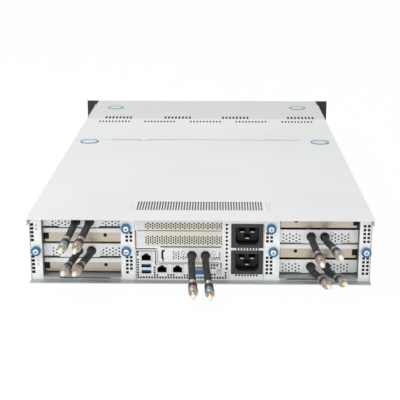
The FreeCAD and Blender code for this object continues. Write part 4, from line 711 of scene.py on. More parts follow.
@dataclass(frozen=True)
class Turned:
    """A turned piece about its own +Z, with both ends closed.

    Each band is the number of a finish and the (radius, height) steps that it goes up to.
    """

    bands: tuple[tuple[int, tuple[Step, ...]], ...]
    sides: int = 28
    knurl: float = 0.0
    sharp: float = 35.0

    def build(
        self, name: str, place: Matrix, *materials: bpy.types.Material
    ) -> bpy.types.Object:
        """Turn the outline.

        Args:
            name: the object's name.
            place: where the piece's own frame goes.
            materials: the finishes that the bands name by number.

        Returns:
            The object, a closed mesh.
        """
        steps = [(*step, finish) for finish, run in self.bands for step in run]
        points = []
        for radius, height, _ in steps:
            for n in range(self.sides):
                turned = math.tau * n / self.sides
                ring = radius * (1 + self.knurl * (-1) ** n) * MM
                at = (ring * math.cos(turned), ring * math.sin(turned), height * MM)
                points.append(place @ Vector(at))
        indices = [finish for *_, finish in steps[1:] for _ in range(self.sides)]
        indices += [steps[0][2], steps[-1][2]]
        faces = ring_faces(len(steps), self.sides)
        mesh = mesh_from(name, points, faces, *materials)
        mesh.polygons.foreach_set("material_index", indices)
        mesh.shade_smooth()
        mesh.set_sharp_from_angle(angle=math.radians(self.sharp))
        return add_object(name, mesh)


# --- repeats by geometry nodes

class Shape(Enum):
    """The small shape that a repeat sets on each point."""

    BOX = "GeometryNodeMeshCube"
    ROUND = "GeometryNodeMeshCylinder"


class Facing(Enum):
    """The way a repeat's plane looks, as the turn that takes +Z to it."""

    UP = (0.0, 0.0, 0.0)
    REAR = (math.pi / 2, 0.0, 0.0)


@dataclass(frozen=True)
class Rows:
    """A block of rows and columns, from the middle of its first piece."""

    start: Triple
    size: Triple
    columns: int = 1
    rows: int = 1
    across: float = 1.0
    up: float = 1.0
    stagger: float = 0.0


class Repeat:
    """A Geometry Nodes tree that sets one shape on the points of a staggered grid."""

    INPUTS = {
        **dict.fromkeys(("Columns", "Rows"), "NodeSocketInt"),
        **dict.fromkeys(("Across", "Up", "Stagger"), "NodeSocketFloat"),
        **dict.fromkeys(("Size", "Start"), "NodeSocketVector"),
        "Turn": "NodeSocketRotation",
        "Finish": "NodeSocketMaterial",
    }
    ROUND_SIDES = 10

    def __init__(self, shape: Shape, facing: Facing) -> None:
        """Build the tree.

        Args:
            shape: what is repeated.
            facing: the way that its plane looks.
        """
        self.facing = facing
        name = f"repeat_{shape.name.lower()}_{facing.name.lower()}"
        self.tree = bpy.data.node_groups.new(name, "GeometryNodeTree")
        graph = Graph(self.tree)
        face = self.tree.interface
        face.new_socket("Geometry", in_out="OUTPUT", socket_type="NodeSocketGeometry")
        self.keys = {
            label: face.new_socket(label, in_out="INPUT", socket_type=kind).identifier
            for label, kind in self.INPUTS.items()
        }
        entry = self.tree.nodes.new("NodeGroupInput")
        given = {label: Socket(graph, entry.outputs[label]) for label in self.INPUTS}
        width = (given["Columns"] - 1.0) * given["Across"]
        height = (given["Rows"] - 1.0) * given["Up"]
        counts = {"Vertices X": given["Columns"], "Vertices Y": given["Rows"]}
        grid = graph.node("GeometryNodeMeshGrid", {"Size X": width, "Size Y": height, **counts})
        index = graph.node("GeometryNodeInputIndex")
        row = graph.math("FLOORED_MODULO", index, given["Rows"])
        odd = graph.math("FLOORED_MODULO", row, 2.0)
        shift = graph.node(
            "ShaderNodeCombineXYZ", {0: width * 0.5 + odd * given["Stagger"], 1: height * 0.5}
        )
        moved = graph.node("GeometryNodeSetPosition", {"Geometry": grid, "Offset": shift})
        if shape is Shape.BOX:
            unit = graph.node(shape.value, {"Size": given["Size"]})
        else:
            wide, deep = (
                graph.node("ShaderNodeSeparateXYZ", {0: given["Size"]}, axis) for axis in "XZ"
            )
            sizes = {"Vertices": self.ROUND_SIDES, "Radius": wide * 0.5, "Depth": deep}
            unit = graph.node(shape.value, sizes)
        instances = graph.node("GeometryNodeInstanceOnPoints", {"Points": moved, "Instance": unit})
        turned = graph.node(
            "GeometryNodeTransform",
            {"Geometry": instances, "Translation": given["Start"], "Rotation": given["Turn"]},
        )
        real = graph.node("GeometryNodeRealizeInstances", {"Geometry": turned})
        dressed = graph.node(
            "GeometryNodeSetMaterial", {"Geometry": real, "Material": given["Finish"]}
        )
        graph.feed(self.tree.nodes.new("NodeGroupOutput").inputs["Geometry"], dressed)

    def stamp(self, rows: Rows, dressing: Dressing) -> bpy.types.Object:
        """Make one block of repeats as a plain mesh.

        Args:
            rows: the block.
            dressing: its material.

        Returns:
            The object.
        """
        holder = add_object("holder", bpy.data.meshes.new("holder"))
        modifier = holder.modifiers.new("repeat", "NODES")
        modifier.node_group = self.tree
        values = {
            "Columns": rows.columns,
            "Rows": rows.rows,
            "Across": rows.across * MM,
            "Up": rows.up * MM,
            "Stagger": rows.stagger * MM,
            "Size": tuple(v * MM for v in rows.size),
            "Start": tuple(v * MM for v in rows.start),
            "Turn": self.facing.value,
            "Finish": dressing.material(),
        }
        for label, value in values.items():
            modifier[self.keys[label]] = value
        graph = bpy.context.evaluated_depsgraph_get()
        mesh = bpy.data.meshes.new_from_object(holder.evaluated_get(graph))
        bpy.data.objects.remove(holder)
        return add_object("block", mesh)


# --- cooling hoses

class Loop(Enum):
    """Which way the coolant goes in a hose."""

    SUPPLY = "supply"
    RETURN = "return"


def in_metres(value: float) -> float:
    """Millimetres as metres, to the micrometre."""
    return round(value * MM, 6)


@dataclass(frozen=True)
class HoseRoute:
    """A hose: where it leaves its boot, how far it goes level, and its two further steps."""

    letter: str
    loop: Loop
    length: float
    exit: Triple
    level: float
    bend: Triple
    end: Triple

    @property
    def points(self) -> list[Triple]:
        """The route's points in metres."""
        steps = (self.exit, (0.0, -self.level, 0.0), self.bend, self.end)
        return [tuple(map(in_metres, place)) for place in accumulate(map(Vector, steps))]


SUPPLY, RETURN = Loop
HOSES = tuple(
    HoseRoute(*row)
    for row in (
        ("a", SUPPLY, 61.2, (-160.5, -395, 75.43), 18, (-1, -22.5, -1.6), (-2.8, -20, -4.4)),
        ("b", RETURN, 60.3, (-142.5, -395, 75.43), 18, (-2.1, -22, -1.8), (-2.8, -19.5, -4.6)),
        ("c", SUPPLY, 56.3, (-158, -395, 36.32), 15, (-2.4, -21.5, 0.4), (-2.8, -19.5, -1.2)),
        ("d", RETURN, 56.2, (-141, -395, 36.32), 15.5, (-3.6, -21, 1.2), (-3.6, -19, -1.8)),
        ("e", RETURN, 59.5, (142.5, -395, 56.64), 18, (1.8, -22, -1.9), (2.3, -19, -3)),
        ("f", SUPPLY, 57.7, (160, -395, 56.64), 16.5, (4.1, -21.5, 1.8), (3.5, -19, -0.8)),
        ("g", RETURN, 55.8, (143, -395, 16), 15.5, (5.4, -20.5, 1.8), (4.9, -18.5, 0.2)),
        ("h", SUPPLY, 55.9, (162.5, -395, 16), 15.5, (5, -20.5, 3), (5, -18.5, 1.2)),
        ("i", RETURN, 69.9, (-10.7, -409.2, 35.4), 18, (1.2, -26, -6), (1.6, -24, -7.6)),
        ("j", SUPPLY, 70.3, (6.8, -409.2, 35.4), 18, (2.6, -26, -6.4), (2.4, -24, -8.2)),
    )
)

# Crimped ferrule, grip, sleeve, coloured ring, collar, stem and dust cap.
COUPLING = Turned(
    (
        (0, ((4.65, -6.4), (4.95, -6), (4.95, -4.2), (4.7, -3.9), (4.7, -3.3))),
        (0, ((4.95, -3), (4.95, -1), (4.7, -0.8))),
        (1, ((5.2, -0.4), (5.45, 0), (5.6, 0.8), (5.6, 6), (5.3, 6.3))),
        (0, ((5.3, 7.4),)),
        (2, ((5.9, 7.8), (6, 8.1), (6, 11.6), (5.7, 12))),
        (0, ((5.5, 12.9), (5.75, 13.2), (5.75, 15.6), (5.4, 16), (4.1, 16.1))),
        (3, ((4, 16.6), (4, 17.6), (3.1, 18.1), (2.9, 20))),
        (4, ((2.6, 20.3), (2.7, 20.8), (2.7, 24.4), (2.3, 25.4), (1.4, 26))),
    )
)


@dataclass
class CoolingHoses:
    """Braided hoses and the capped couplings on their ends."""

    diameter: float = 0.009
    sides: int = 20
    resolution: int = 8
    routes: tuple[HoseRoute, ...] = HOSES

    def centreline(self, route: HoseRoute) -> list[Vector]:
        """Smooth a route.

        Args:
            route: the hose's route.

        Returns:
            Points along the smooth line that the route's points control.
        """
        curve = bpy.data.curves.new(f"route_{route.letter}", "CURVE")
        curve.dimensions = "3D"
        curve.resolution_u = self.resolution
        spline = curve.splines.new("NURBS")
        spline.points.add(len(route.points) - 1)
        for point, place in zip(spline.points, route.points):
            point.co = (*place, 1.0)
        spline.order_u = 3
        spline.use_endpoint_u = True
        holder = add_object(curve.name, curve)
        graph = bpy.context.evaluated_depsgraph_get()
        line = bpy.data.meshes.new_from_object(holder.evaluated_get(graph))
        points = [v.co.copy() for v in line.vertices]
        bpy.data.objects.remove(holder)
        bpy.data.meshes.remove(line)
        return points

    def tube(self, name: str, line: list[Vector]) -> bpy.types.Object:
        """Sweep a closed tube, with a UV map of turns round and metres along.

        Args:
            name: the object's name.
            line: the centre line.

        Returns:
            The object.
        """
        sides = self.sides
        heading = (line[1] - line[0]).normalized()
        across = heading.cross(Vector((0, 0, 1))).normalized()
        points: list[Vector] = []
        for before, at, after in zip([line[0], *line], line, [*line[1:], line[-1]]):
            heading = (after - before).normalized()
            across = (across - heading * across.dot(heading)).normalized()
            up = heading.cross(across)
            for k in range(sides):
                turned = math.tau * k / sides
                arm = across * math.cos(turned) + up * math.sin(turned)
                points.append(at + arm * (self.diameter / 2))
        lengths = ((after - before).length for before, after in zip(line, line[1:]))
        runs = list(accumulate(lengths, initial=0.0))
        corners = [
            (u / sides, runs[v])
            for n in range(len(line) - 1)
            for k in range(sides)
            for u, v in ((k, n), (k + 1, n), (k + 1, n + 1), (k, n + 1))
        ]
        corners += [(0.0, 0.0)] * sides * 2
        faces = ring_faces(len(line), sides)
        mesh = mesh_from(name, points, faces, BRAID.material())
        mesh.shade_smooth()
        layer = mesh.uv_layers.new(name="UVMap")
        layer.data.foreach_set("uv", [value for corner in corners for value in corner])
        return add_object(name, mesh)

    def coupling(self, route: HoseRoute, line: list[Vector]) -> bpy.types.Object:
        """Set the capped quick coupling on a hose's end.

        Args:
            route: the hose's route.
            line: the hose's centre line.

        Returns:
            The object.
        """
        heading = (line[-1] - line[-2]).normalized()
        place = Matrix.Translation(line[-1]) @ heading.to_track_quat("Z", "Y").to_matrix().to_4x4()
        ring = BLUE_RING if route.loop is Loop.SUPPLY else RED_RING
        materials = [d.material() for d in (STEEL_BAND, BLACK_PLASTIC, ring, BRASS, IVORY)]
        return COUPLING.build(f"coupling_{route.letter}", place, *materials)

    def build(self) -> None:
        """Make every hose and its coupling."""
        for route in self.routes:
            line = self.centreline(route)
            hose = self.tube(f"braided_hose_{route.letter}", line)
            end = self.coupling(route, line)
            for piece, node, slot in (
                (hose, f"hose_{route.letter}", "hose_braid"),
                (end, f"{route.loop.value}_couplings", "coupling_steel"),
            ):
                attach(piece, Body.CHASSIS.value)
                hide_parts(node)
            route.points[0]
            in_metres(route.length)
            LOG.info("hose %s: %d points", route.letter, len(line))


# --- captive screws

THUMB_GRIP = Turned(
    ((0, ((5.7, 0), (6.2, 0.4), (6.2, 5.1), (5.5, 5.9), (4.2, 6), (3.8, 5.5))),), 40, 0.012
)
THUMB_FACE = Turned(((1, ((3.8, 0.3), (3.8, 5.4), (3.4, 6.1), (2.2, 6.4))),))
COVER_RING = Turned(((0, ((15.5, 0.02), (15.3, 0.5), (14.8, 0.8), (13.3, 0.8), (12.9, 0.3))),), 48)
COVER_DISC = Turned(((1, ((12.9, 0.02), (12.6, 0.55), (11.3, 0.7), (9.5, 1.1), (6, 1.25))),), 40)


@dataclass
class CaptiveScrews:
    """Blue-ringed captive screws on the rear face and on both covers."""

    cross_reach: float = 1.9
    cross_width: float = 0.836
    cross_levels: tuple[float, float] = (6.14, 6.44)
    face_y: float = -405.0
    face_places: tuple[tuple[float, float], ...] = (
        (-210.6, 40.2),
        (-94.4, 71.2),
        (-94.4, 40.4),
        (90.6, 71.6),
        (93.4, 40.6),
        (212, 40.8),
    )

    def cross(self, place: Matrix) -> bpy.types.Object:
        """The dark cross recess of a screw's head, as a thin closed cross on its face.

        Args:
            place: where the screw's own frame goes.

        Returns:
            The object.
        """
        reach, half = self.cross_reach, self.cross_width / 2
        arm = [(reach, -half), (reach, half), (half, half)]
        outline: list[tuple[float, float]] = []
        for _ in range(4):
            outline += arm
            arm = [(-y, x) for x, y in arm]
        points = [
            place @ (Vector((x, y, level)) * MM) for level in self.cross_levels for x, y in outline
        ]
        faces = ring_faces(2, len(outline))
        return add_object("cross", mesh_from("cross", points, faces, HOLE.material()))

    def build(self) -> None:
        """Make every screw, joined into one piece for each body."""
        pieces: list[bpy.types.Object] = []
        materials = [BLUE.material(), SCREW_FACE.material()]
        for x, z in self.face_places:
            place = moved_to(x, self.face_y, z) @ FACING_REAR
            pieces += [one.build("thumb", place, *materials) for one in (THUMB_GRIP, THUMB_FACE)]
            pieces.append(self.cross(place))
        thumbs = join("blue_thumbscrews", pieces, Body.CHASSIS)
        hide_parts("cage_thumbscrews")
        materials = [RING_PAINT.material(), SCREW_FACE.material()]
        for body, node, x, y, z in (
            (Body.REAR_LID, "rear_cover_screws", 192, 14, 86.5),
            (Body.FRONT_LID, "front_cover_screws", 177, 311, 85.7),
        ):
            pieces = []
            for side in (-1, 1):
                place = moved_to(side * x, y, z)
                pieces += [one.build(node, place, *materials) for one in (COVER_RING, COVER_DISC)]
            screws = join(f"blue_{node}", pieces, body)
            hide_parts(node)


# --- holes and rivets

PANEL_Y, BLANK_Y, BRACKET_Y, LOOP_Y, BAR_Y = -405, -403.8, -392, -406.2, -390.6
PLATE_LOWS = (6.8, 27.12, 47.44, 67.76)

BLANK_HOLES = ((50.2, 7), (70.9, 5))  # the lowest row's height, and how many rows
BAR_HOLES = ((-1, 56.8), (-1, 16.2), (1, 77.2), (1, 36.5))  # side and height
BAR_NOTCHES = ((-1, 55.6), (-1, 15), (1, 75.8), (1, 35.2))
# Holes of the loop plate: x, z, then the grid as in Rows.
LOOP_HOLES = (
    (-33.9, 30.6, 2, 4, 6.2, 3.05),
    (-30.9, 32.1, 1, 3, 3.1, 3.05),
    (-24.8, 32.1, 2, 1, 6),
    (-21.8, 30.6, 1, 2, 3, 3),
    (16.2, 30.4, 3, 2, 2.9, 2, 1.45),
    (25.1, 29.8, 1, 4, 3, 3),
)
# Holes of the slot plates: the plate from below, x, columns and the shift of odd rows.
PLATE_HOLES = (
    (3, -190.3, 3, 4.1),
    (3, -121.5, 3, -4.1),
    (1, -190.3, 2, 4.1),
    (1, -121.5, 3, -4.1),
    (2, 106.7, 3, 4.2),
    (2, 173.6, 3, -4.2),
    (0, 106.7, 3, 4.2),
    (0, 173.6, 3, -4.2),
)
# Square holes of the middle panel and the cages: pitch, width and height, then x, z, columns
# and rows of each block.
SQUARES = (
    (3.52, 2.2, 2.9, ((-79.8, 4.4, 33, 1),)),
    (3.45, 2.4, 2.4, ((-80, 7.8, 1, 7), (-80.2, 35.2, 1, 2))),
    (3.5, 2.3, 2.3, ((-58.8, 7.8, 1, 4), (32.8, 7.9, 1, 2))),
    (3.5, 2.2, 2.2, ((-55.3, 7.8, 1, 1), (-41.3, 7.8, 3, 1), (-20.2, 7.8, 2, 1))),
    (3.7, 2.4, 2.4, ((14.6, 17.6, 2, 2), (22, 21.3, 1, 1), (15, 8.6, 2, 1))),
    (3.8, 2.1, 2.6, ((47.2, 43.7, 8, 1), (46.4, 7.9, 8, 1))),
    (5.2, 3.5, 3.5, ((-93.8, 11.2, 1, 5), (-88.6, 16.4, 1, 4), (-93.8, 54.4, 2, 3))),
    (5.2, 3.5, 3.5, ((85.8, 11.2, 2, 5), (85.8, 54.4, 2, 3))),
    (5.2, 4.4, 3.7, ((-215, 11.2, 1, 5), (-215, 54.4, 1, 5))),
    (5.2, 3.5, 3.5, ((209.2, 11.2, 2, 5), (209.2, 54.4, 2, 5))),
)
# The spring tongue's cuts in the loop plate: x, z, width and height.
TONGUE_CUTS = (
    (-49.1, 35.2, 1.4, 9.4),
    (-47.3, 40.6, 3.8, 1.6),
    (-47.6, 31.4, 2.4, 1.3),
    (-47.6, 27.6, 2.6, 1.5),
)
# Joints between the plates of the rear face: x and z, each from and to, and the finish.
JOINTS = (
    (-81.4, -55.6, 42.7, 44.2, GROOVE),
    (-81.4, -57, 39.8, 41, GROOVE),
    (-57.8, -56.6, 27.5, 41, GROOVE),
    (-50.9, 26.9, 45.4, 46.9, HOLE),
    (-82.9, -81.6, 43, 68, GROOVE),
    (-82.6, -81.6, 2, 43, SOFT_GROOVE),
    (-58, -56.5, 21.8, 27.5, HOLE),
    (-55, -54, 24, 42.7, SOFT_GROOVE),
    (-53.4, 27.6, 22.8, 23.7, SOFT_GROOVE),
    (-53.4, 26.4, 24.7, 25.4, SOFT_GROOVE),
    (26.3, 27.5, 16.8, 24.8, HOLE),
    (28.4, 36.2, 15.3, 15.7, SOFT_GROOVE),
    (36.2, 36.6, 2, 15.7, SOFT_GROOVE),
    (-181, -116, 2.6, 4, HOLE),
    (112, 158, 2.6, 4, HOLE),
    (-7.4, 5, 19.3, 22, PORT_CREAM),
    (-7.4, 5, 17.4, 19.2, PORT_GREEN),
)
# Pressed rings: the face, radius, and the x and z of each.
RINGS = (
    (BRACKET_Y, 2.4, ((-127.6, 32.5), (-170, 80))),
    (BRACKET_Y, 2.6, ((168.8, 60.6), (168.8, 20.2))),
    (LOOP_Y, 2.8, ((-21.9, 38.4), (17.6, 38.4))),
    (PANEL_Y, 1.5, ((-209.2, 74.6), (-209.2, 69.4), (-208.6, 27), (-208.6, 21.8))),
    (PANEL_Y, 3.1, ((24.4, 12.7),)),
)
# A pressed ring's outline: how far inside its radius, and the height.
RING_STEPS = ((0, -0.02), (0, 0.08), (0.3, 0.12), (0.55, 0.08), (0.55, -0.02))


@dataclass
class FineHoles:
    """Perforations and joints too fine for the solids, as dark wells in their sheets."""

    proud: float = 0.1
    hole_width: float = 2.25
    loop_hole: float = 2.0
    plate_rows: Triple = (5, 2.27, 3.3)  # how many, their pitch, the lowest above the plate's end
    blank_grid: tuple[float, float, float] = (5.86, 1.58, -2.93)
    bar_hole: tuple[float, float] = (123, 4.9)
    bar_notch: Triple = (198.6, 5.4, 8.6)
    video_pins: tuple[Triple, float] = ((-5.6, -409.9, 11.6), 0.9)
    video_grid: tuple[float, ...] = (5, 3, 2, 2)
    blank_joint: tuple[Triple, float, float] = ((-26.2, BLANK_Y - 0.02, 67.6), 107.2, 0.55)
    bay_floor: tuple[Triple, Triple] = ((152.6, -390, 5.2), (99.4, 29.4, 0.4))
    made: list[bpy.types.Object] = field(default_factory=list)

    def well(self, at: Triple, width: float, height: float, *grid: float) -> Rows:
        """A block of wells in a face, on a grid given as in Rows."""
        return Rows(at, (width, height, self.proud), *grid)

    def perforations(self) -> None:
        """Make the round holes of blanks, loop plate, slot plates, bars and video socket."""
        blocks = [
            ((-66.4, BLANK_Y, z), self.hole_width, (17, rows, *self.blank_grid), WARM_HOLE)
            for z, rows in BLANK_HOLES
        ]
        blocks += [((x, LOOP_Y, z), self.loop_hole, grid, HOLE) for x, z, *grid in LOOP_HOLES]
        rows, pitch, lowest = self.plate_rows
        for plate, x, columns, shift in PLATE_HOLES:
            at = (x, BRACKET_Y, PLATE_LOWS[plate] + lowest)
            grid = (columns, rows, abs(shift) * 2, pitch, shift)
            blocks.append((at, self.hole_width, grid, HOLE))
        x, width = self.bar_hole
        blocks += [((side * x, BAR_Y, z), width, (), HOLE) for side, z in BAR_HOLES]
        blocks.append((*self.video_pins, self.video_grid, HOLE))
        wells = Repeat(Shape.ROUND, Facing.REAR)
        for at, width, grid, finish in blocks:
            self.made.append(wells.stamp(self.well(at, width, width, *grid), finish))

    def squares(self) -> None:
        """Make the square holes, the bars' notches and the tongue's cuts."""
        blocks = [
            self.well((x, PANEL_Y, z), width, height, columns, rows, pitch, pitch)
            for pitch, width, height, places in SQUARES
            for x, z, columns, rows in places
        ]
        x, *size = self.bar_notch
        blocks += [self.well((side * x, BAR_Y, z), *size) for side, z in BAR_NOTCHES]
        blocks += [self.well((x, LOOP_Y, z), *size) for x, z, *size in TONGUE_CUTS]
        wells = Repeat(Shape.BOX, Facing.REAR)
        self.made += [wells.stamp(rows, HOLE) for rows in blocks]

    def joints(self) -> None:
        """Make the thin joints between the plates of the rear face."""
        lines = Repeat(Shape.BOX, Facing.REAR)
        for x0, x1, z0, z1, finish in JOINTS:
            middle = ((x0 + x1) / 2, PANEL_Y, (z0 + z1) / 2)
            self.made.append(lines.stamp(self.well(middle, x1 - x0, z1 - z0), finish))
        self.made.append(lines.stamp(self.well(*self.blank_joint), GROOVE))

    def rings(self) -> None:
        """Make the shallow pressed rings beside the perforations."""
        for y, radius, places in RINGS:
            ring = Turned(((0, tuple((radius - step, z) for step, z in RING_STEPS)),), 20)
            for x, z in places:
                place = moved_to(x, y, z) @ FACING_REAR
                self.made.append(ring.build("ring", place, SOFT_GROOVE.material()))

    def build(self) -> None:
        """Make every hole, joint and ring as one piece, and the bays' floor sheets."""
        for step in (self.perforations, self.squares, self.joints, self.rings):
            step()
        join("fine_holes", self.made, Body.CHASSIS)
        sheets = Repeat(Shape.BOX, Facing.UP)
        (x, y, z), size = self.bay_floor
        bays = [Rows((side * x, y, z), size) for side in (-1, 1)]
        join("bay_floors", [sheets.stamp(rows, ZINC) for rows in bays], Body.CHASSIS)


# Marks on the rear cover beside its bracket, pale grey lines of painted shade in shallow grooves:
# x, y, width and depth.
BRACKET_MARKS = (
    (87.2, -358, 0.9, 37),
    (91, -356, 0.9, 33),
    (89.1, -376.4, 4.6, 1.4),
    (-88.6, -358, 0.5, 34),
    (-92.2, -358, 0.5, 30),
)


@dataclass
class CoverDetail:
    """Rivets, the seam's open lengths and the sheets of painted shade under the covers' vents and
    grille.
    """

    rear_top: float = 86.5
    front_top: float = 85.7
    groove: float = 0.1
    rear_dot: tuple[Step, Triple] = ((163, 14), (4, 4, 0.12))
    front_dot: tuple[Step, Triple] = ((149, 311), (4.2, 4.2, 0.16))
    grille_x: float = -1.5
    # Sheets of painted shade seen through the vents and grille: y, how far below the cover's top,
    # and their sizes along x and y.
    grille: tuple[float, ...] = (-353, 2, 170, 50)
    step_vent_shade: tuple[float, ...] = (219, 1.9, 56, 36)
    back_vent_shade: tuple[float, ...] = (181, 1.3, 62, 26)
    sheet_thickness: float = 0.5
    seam_y: float = 29.5
    seam_width: float = 1.5
    seam_lengths: tuple[tuple[float, float], ...] = ((-158, -107), (-95, 85), (99, 156))
    rivets: tuple[tuple[float, float], ...] = (
        (-16, 354),
        (-15, 274),
        (123, 276),
        (201, 345),
        (201, 278),
    )

    def shade_sheet(self, x: float, top: float, sheet: tuple[float, ...]) -> Rows:
        """A sheet of painted shade under a cover whose top is given."""
        y, below, *size = sheet
        return Rows((x, y, top - below), (*size, self.sheet_thickness))

    def rear_lid(self, dots: Repeat, bars: Repeat) -> None:
        """Make the rear cover's dots, seam, bracket marks and the grey sheet of painted shade
        under its grille.

        Args:
            dots: the repeat of round shapes.
            bars: the repeat of boxes.
        """
        top = self.rear_top
        (x, y), size = self.rear_dot
        made = [dots.stamp(Rows((side * x, y, top), size), IVORY) for side in (-1, 1)]
        for x0, x1 in self.seam_lengths:
            rows = Rows(((x0 + x1) / 2, self.seam_y, top), (x1 - x0, self.seam_width, self.groove))
            made.append(bars.stamp(rows, GROOVE))
        for x, y, *size in BRACKET_MARKS:
            made.append(bars.stamp(Rows((x, y, top), (*size, self.groove)), PALE_GROOVE_SHADE))
        join("rear_cover_marks", made, Body.REAR_LID)
        mesh = bars.stamp(self.shade_sheet(self.grille_x, top, self.grille), GRILLE_SHADE_SHEET)
        join("grille_shade_sheet", [mesh], Body.REAR_LID)

    def front_lid(self, dots: Repeat, bars: Repeat) -> None:
        """Make the front cover's dots, its rivets and the dark sheets of painted shade behind its
        vents.

        Args:
            dots: the repeat of round shapes.
            bars: the repeat of boxes.
        """
        top = self.front_top
        (x, y), size = self.front_dot
        places = [((side * x, y), IVORY) for side in (-1, 1)]
        places += [(rivet, SCREW_FACE) for rivet in self.rivets]
        made = [dots.stamp(Rows((*place, top), size), finish) for place, finish in places]
        join("front_cover_marks", made, Body.FRONT_LID)
        sheets = [self.shade_sheet(x, top, self.step_vent_shade) for x in STEP_VENTS]
        sheets += [self.shade_sheet(x, top, self.back_vent_shade) for x in BACK_VENTS]
        join("vent_shade_sheet", [bars.stamp(rows, VENT_SHADE_SHEET) for rows in sheets], Body.FRONT_LID)

    def build(self) -> None:
        """Make the small marks of both covers and the sheets of painted shade under their vents
        and grille.
        """
        shapes = (Repeat(Shape.ROUND, Facing.UP), Repeat(Shape.BOX, Facing.UP))
        self.rear_lid(*shapes)
        self.front_lid(*shapes)


# Head, neck, collar and tip of a rack screw.
RACK_SCREW = Turned(
    (
        (0, ((4.4, -9), (5.1, -8.4), (5.1, -1.2), (4.6, -0.6))),
        (0, ((3, -0.4), (3, 2.5), (5.9, 2.6), (5.9, 3.5))),
        (0, ((2.7, 3.7), (2.7, 7.4), (2.2, 8))),
    ),
    32,
    0.02,
)


@dataclass
class EarScrews:
    """The captive rack screws that fill the ears' slots, with their black collars."""

    across: float = 232.55
    heights: tuple[float, float] = (21.03, 65.48)
    face_y: float = 383.0

    def build(self) -> None:
        """Make the four screws as one piece."""
        pieces = []
        for side in (-1, 1):
            for z in self.heights:
                place = moved_to(side * self.across, self.face_y, z) @ FACING_REAR
                pieces.append(RACK_SCREW.build("ear_screw", place, BLACK_PLASTIC.material()))
        join("ear_screws", pieces, Body.CHASSIS)


# Parts of the main board: x, y, their size, then the grid as in Rows.
CHIPS = (
    (-190, 92, (6, 6, 3), 8, 2, 9, 8),
    (118, 92, (6, 6, 3), 8, 2, 9, 8),
    (-20, -60, (11, 11, 1.6), 3, 5, 18, 22),
    (-60, -300, (8, 12, 1.8), 5, 6, 16, 26),
)
CANS = (
    (-50, 98, (6.3, 6.3, 8), 8, 2, 11, 11),
    (-20, -90, (6.3, 6.3, 8), 4, 1, 11, 11),
)


@dataclass
class BoardParts:
    """Chips, capacitors and connectors of the main board, in rows."""

    top: float = 9.4

    def build(self) -> None:
        """Make the rows of parts on the main board."""
        boxes = Repeat(Shape.BOX, Facing.UP)
        cans = Repeat(Shape.ROUND, Facing.UP)
        made = [
            repeat.stamp(Rows((x, y, self.top + size[2] / 2), size, *grid), finish)
            for repeat, finish, table in ((boxes, BLACK_PLASTIC, CHIPS), (cans, PLATED, CANS))
            for x, y, size, *grid in table
        ]
        join("board_parts", made, Body.CHASSIS)


# --- studio

# Lamps: name, place, aim and side in metres, and watts.
LAMPS = (
    ("key", (-1.5, -1.5, 1.9), (-0.05, -0.2, 0.05), 1.5, 26.0),
    ("fill", (1.5, -1.8, 0.7), (0.0, -0.35, 0.05), 1.4, 6.5),
    ("rear", (-0.3, -2.6, 0.2), (0.0, -0.4, 0.04), 0.36, 6.0),
    ("top", (-0.9, 0.5, 1.9), (-0.1, 0.0, 0.05), 1.6, 14.0),
)


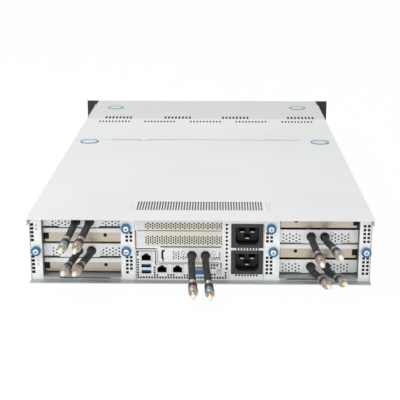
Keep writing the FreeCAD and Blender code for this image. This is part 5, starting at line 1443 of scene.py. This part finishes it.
@dataclass
class Studio:
    """Camera, lamps, sky and a pale floor. Its places are in metres."""

    lens: float = 90.42
    sensor: float = 36.0
    clip: float = 0.05
    place: Triple = (0.020802, -1.620632, 0.466455)
    tilt: float = 73.611
    swing: float = 0.991
    floor_reach: float = 6.0
    floor_drop: float = 0.0004
    glow_share: float = 0.97
    sky_strength: float = 0.6

    def camera(self) -> None:
        """Stand the camera behind and above the server's rear."""
        data = bpy.data.cameras.new("camera")
        data.lens = self.lens
        data.sensor_width = self.sensor
        data.clip_start = self.clip
        camera = add_object("camera", data)
        camera.location = self.place
        camera.rotation_euler = Euler((math.radians(self.tilt), 0.0, math.radians(self.swing)))
        bpy.context.scene.camera = camera

    def light(self) -> None:
        """Hang the square area lamps, each turned to what it lights."""
        for name, place, aim, size, power in LAMPS:
            data = bpy.data.lights.new(name, "AREA")
            data.size = size
            data.energy = power
            lamp = add_object(name, data)
            lamp.location = place
            lamp.rotation_euler = (Vector(aim) - Vector(place)).to_track_quat("-Z", "Y").to_euler()

    def floor(self) -> None:
        """A pale floor that keeps the server's shadow, and looks white round it."""
        material = bpy.data.materials.new("floor")
        material.use_nodes = True
        graph = Graph(material.node_tree)
        shader = material.node_tree.nodes["Principled BSDF"]
        graph.feed(shader.inputs["Base Color"], (0.9, 0.9, 0.9))
        graph.feed(shader.inputs["Roughness"], 0.9)
        graph.feed(shader.inputs["Specular IOR Level"], 0.0)
        glow = graph.node("ShaderNodeEmission", {"Color": (1.0, 1.0, 1.0), "Strength": 1.0})
        camera, glossy, through = (
            graph.node("ShaderNodeLightPath", output=f"Is {kind} Ray")
            for kind in ("Camera", "Glossy", "Transmission")
        )
        seen = graph.math("MINIMUM", camera + glossy + through, 1.0) * self.glow_share
        matt = Socket(graph, shader.outputs[0])
        blend = graph.node("ShaderNodeMixShader", {0: seen, 1: matt, 2: glow})
        graph.feed(material.node_tree.nodes["Material Output"].inputs["Surface"], blend)
        reach = self.floor_reach
        corners = [
            Vector((x * reach, y * reach, -self.floor_drop))
            for x, y in ((-1, -1), (1, -1), (1, 1), (-1, 1))
        ]
        add_object("floor", mesh_from("floor", corners, [(0, 1, 2, 3)], material))

    def world(self) -> None:
        """A soft grey sky that the camera sees as white."""
        world = bpy.data.worlds.new("sky")
        world.use_nodes = True
        graph = Graph(world.node_tree)
        seen = graph.node("ShaderNodeLightPath", output="Is Camera Ray")
        shader = world.node_tree.nodes["Background"]
        graph.feed(shader.inputs["Color"], (1.0, 1.0, 1.0))
        strength = seen * (1 - self.sky_strength) + self.sky_strength
        graph.feed(shader.inputs["Strength"], strength)
        bpy.context.scene.world = world

    def build(self) -> None:
        """Set up the whole studio."""
        bpy.context.scene.view_settings.view_transform = "Standard"
        self.camera()
        self.floor()
        self.world()
        self.light()


def main() -> None:
    """Build the scene, piece by piece."""
    logging.basicConfig(level=logging.INFO, format="%(name)s: %(message)s")
    Studio().build()
    CoolingHoses().build()
    dress_nodes()
    CaptiveScrews().build()
    FineHoles().build()
    CoverDetail().build()
    EarScrews().build()
    BoardParts().build()


if __name__ == "__main__":
    main()
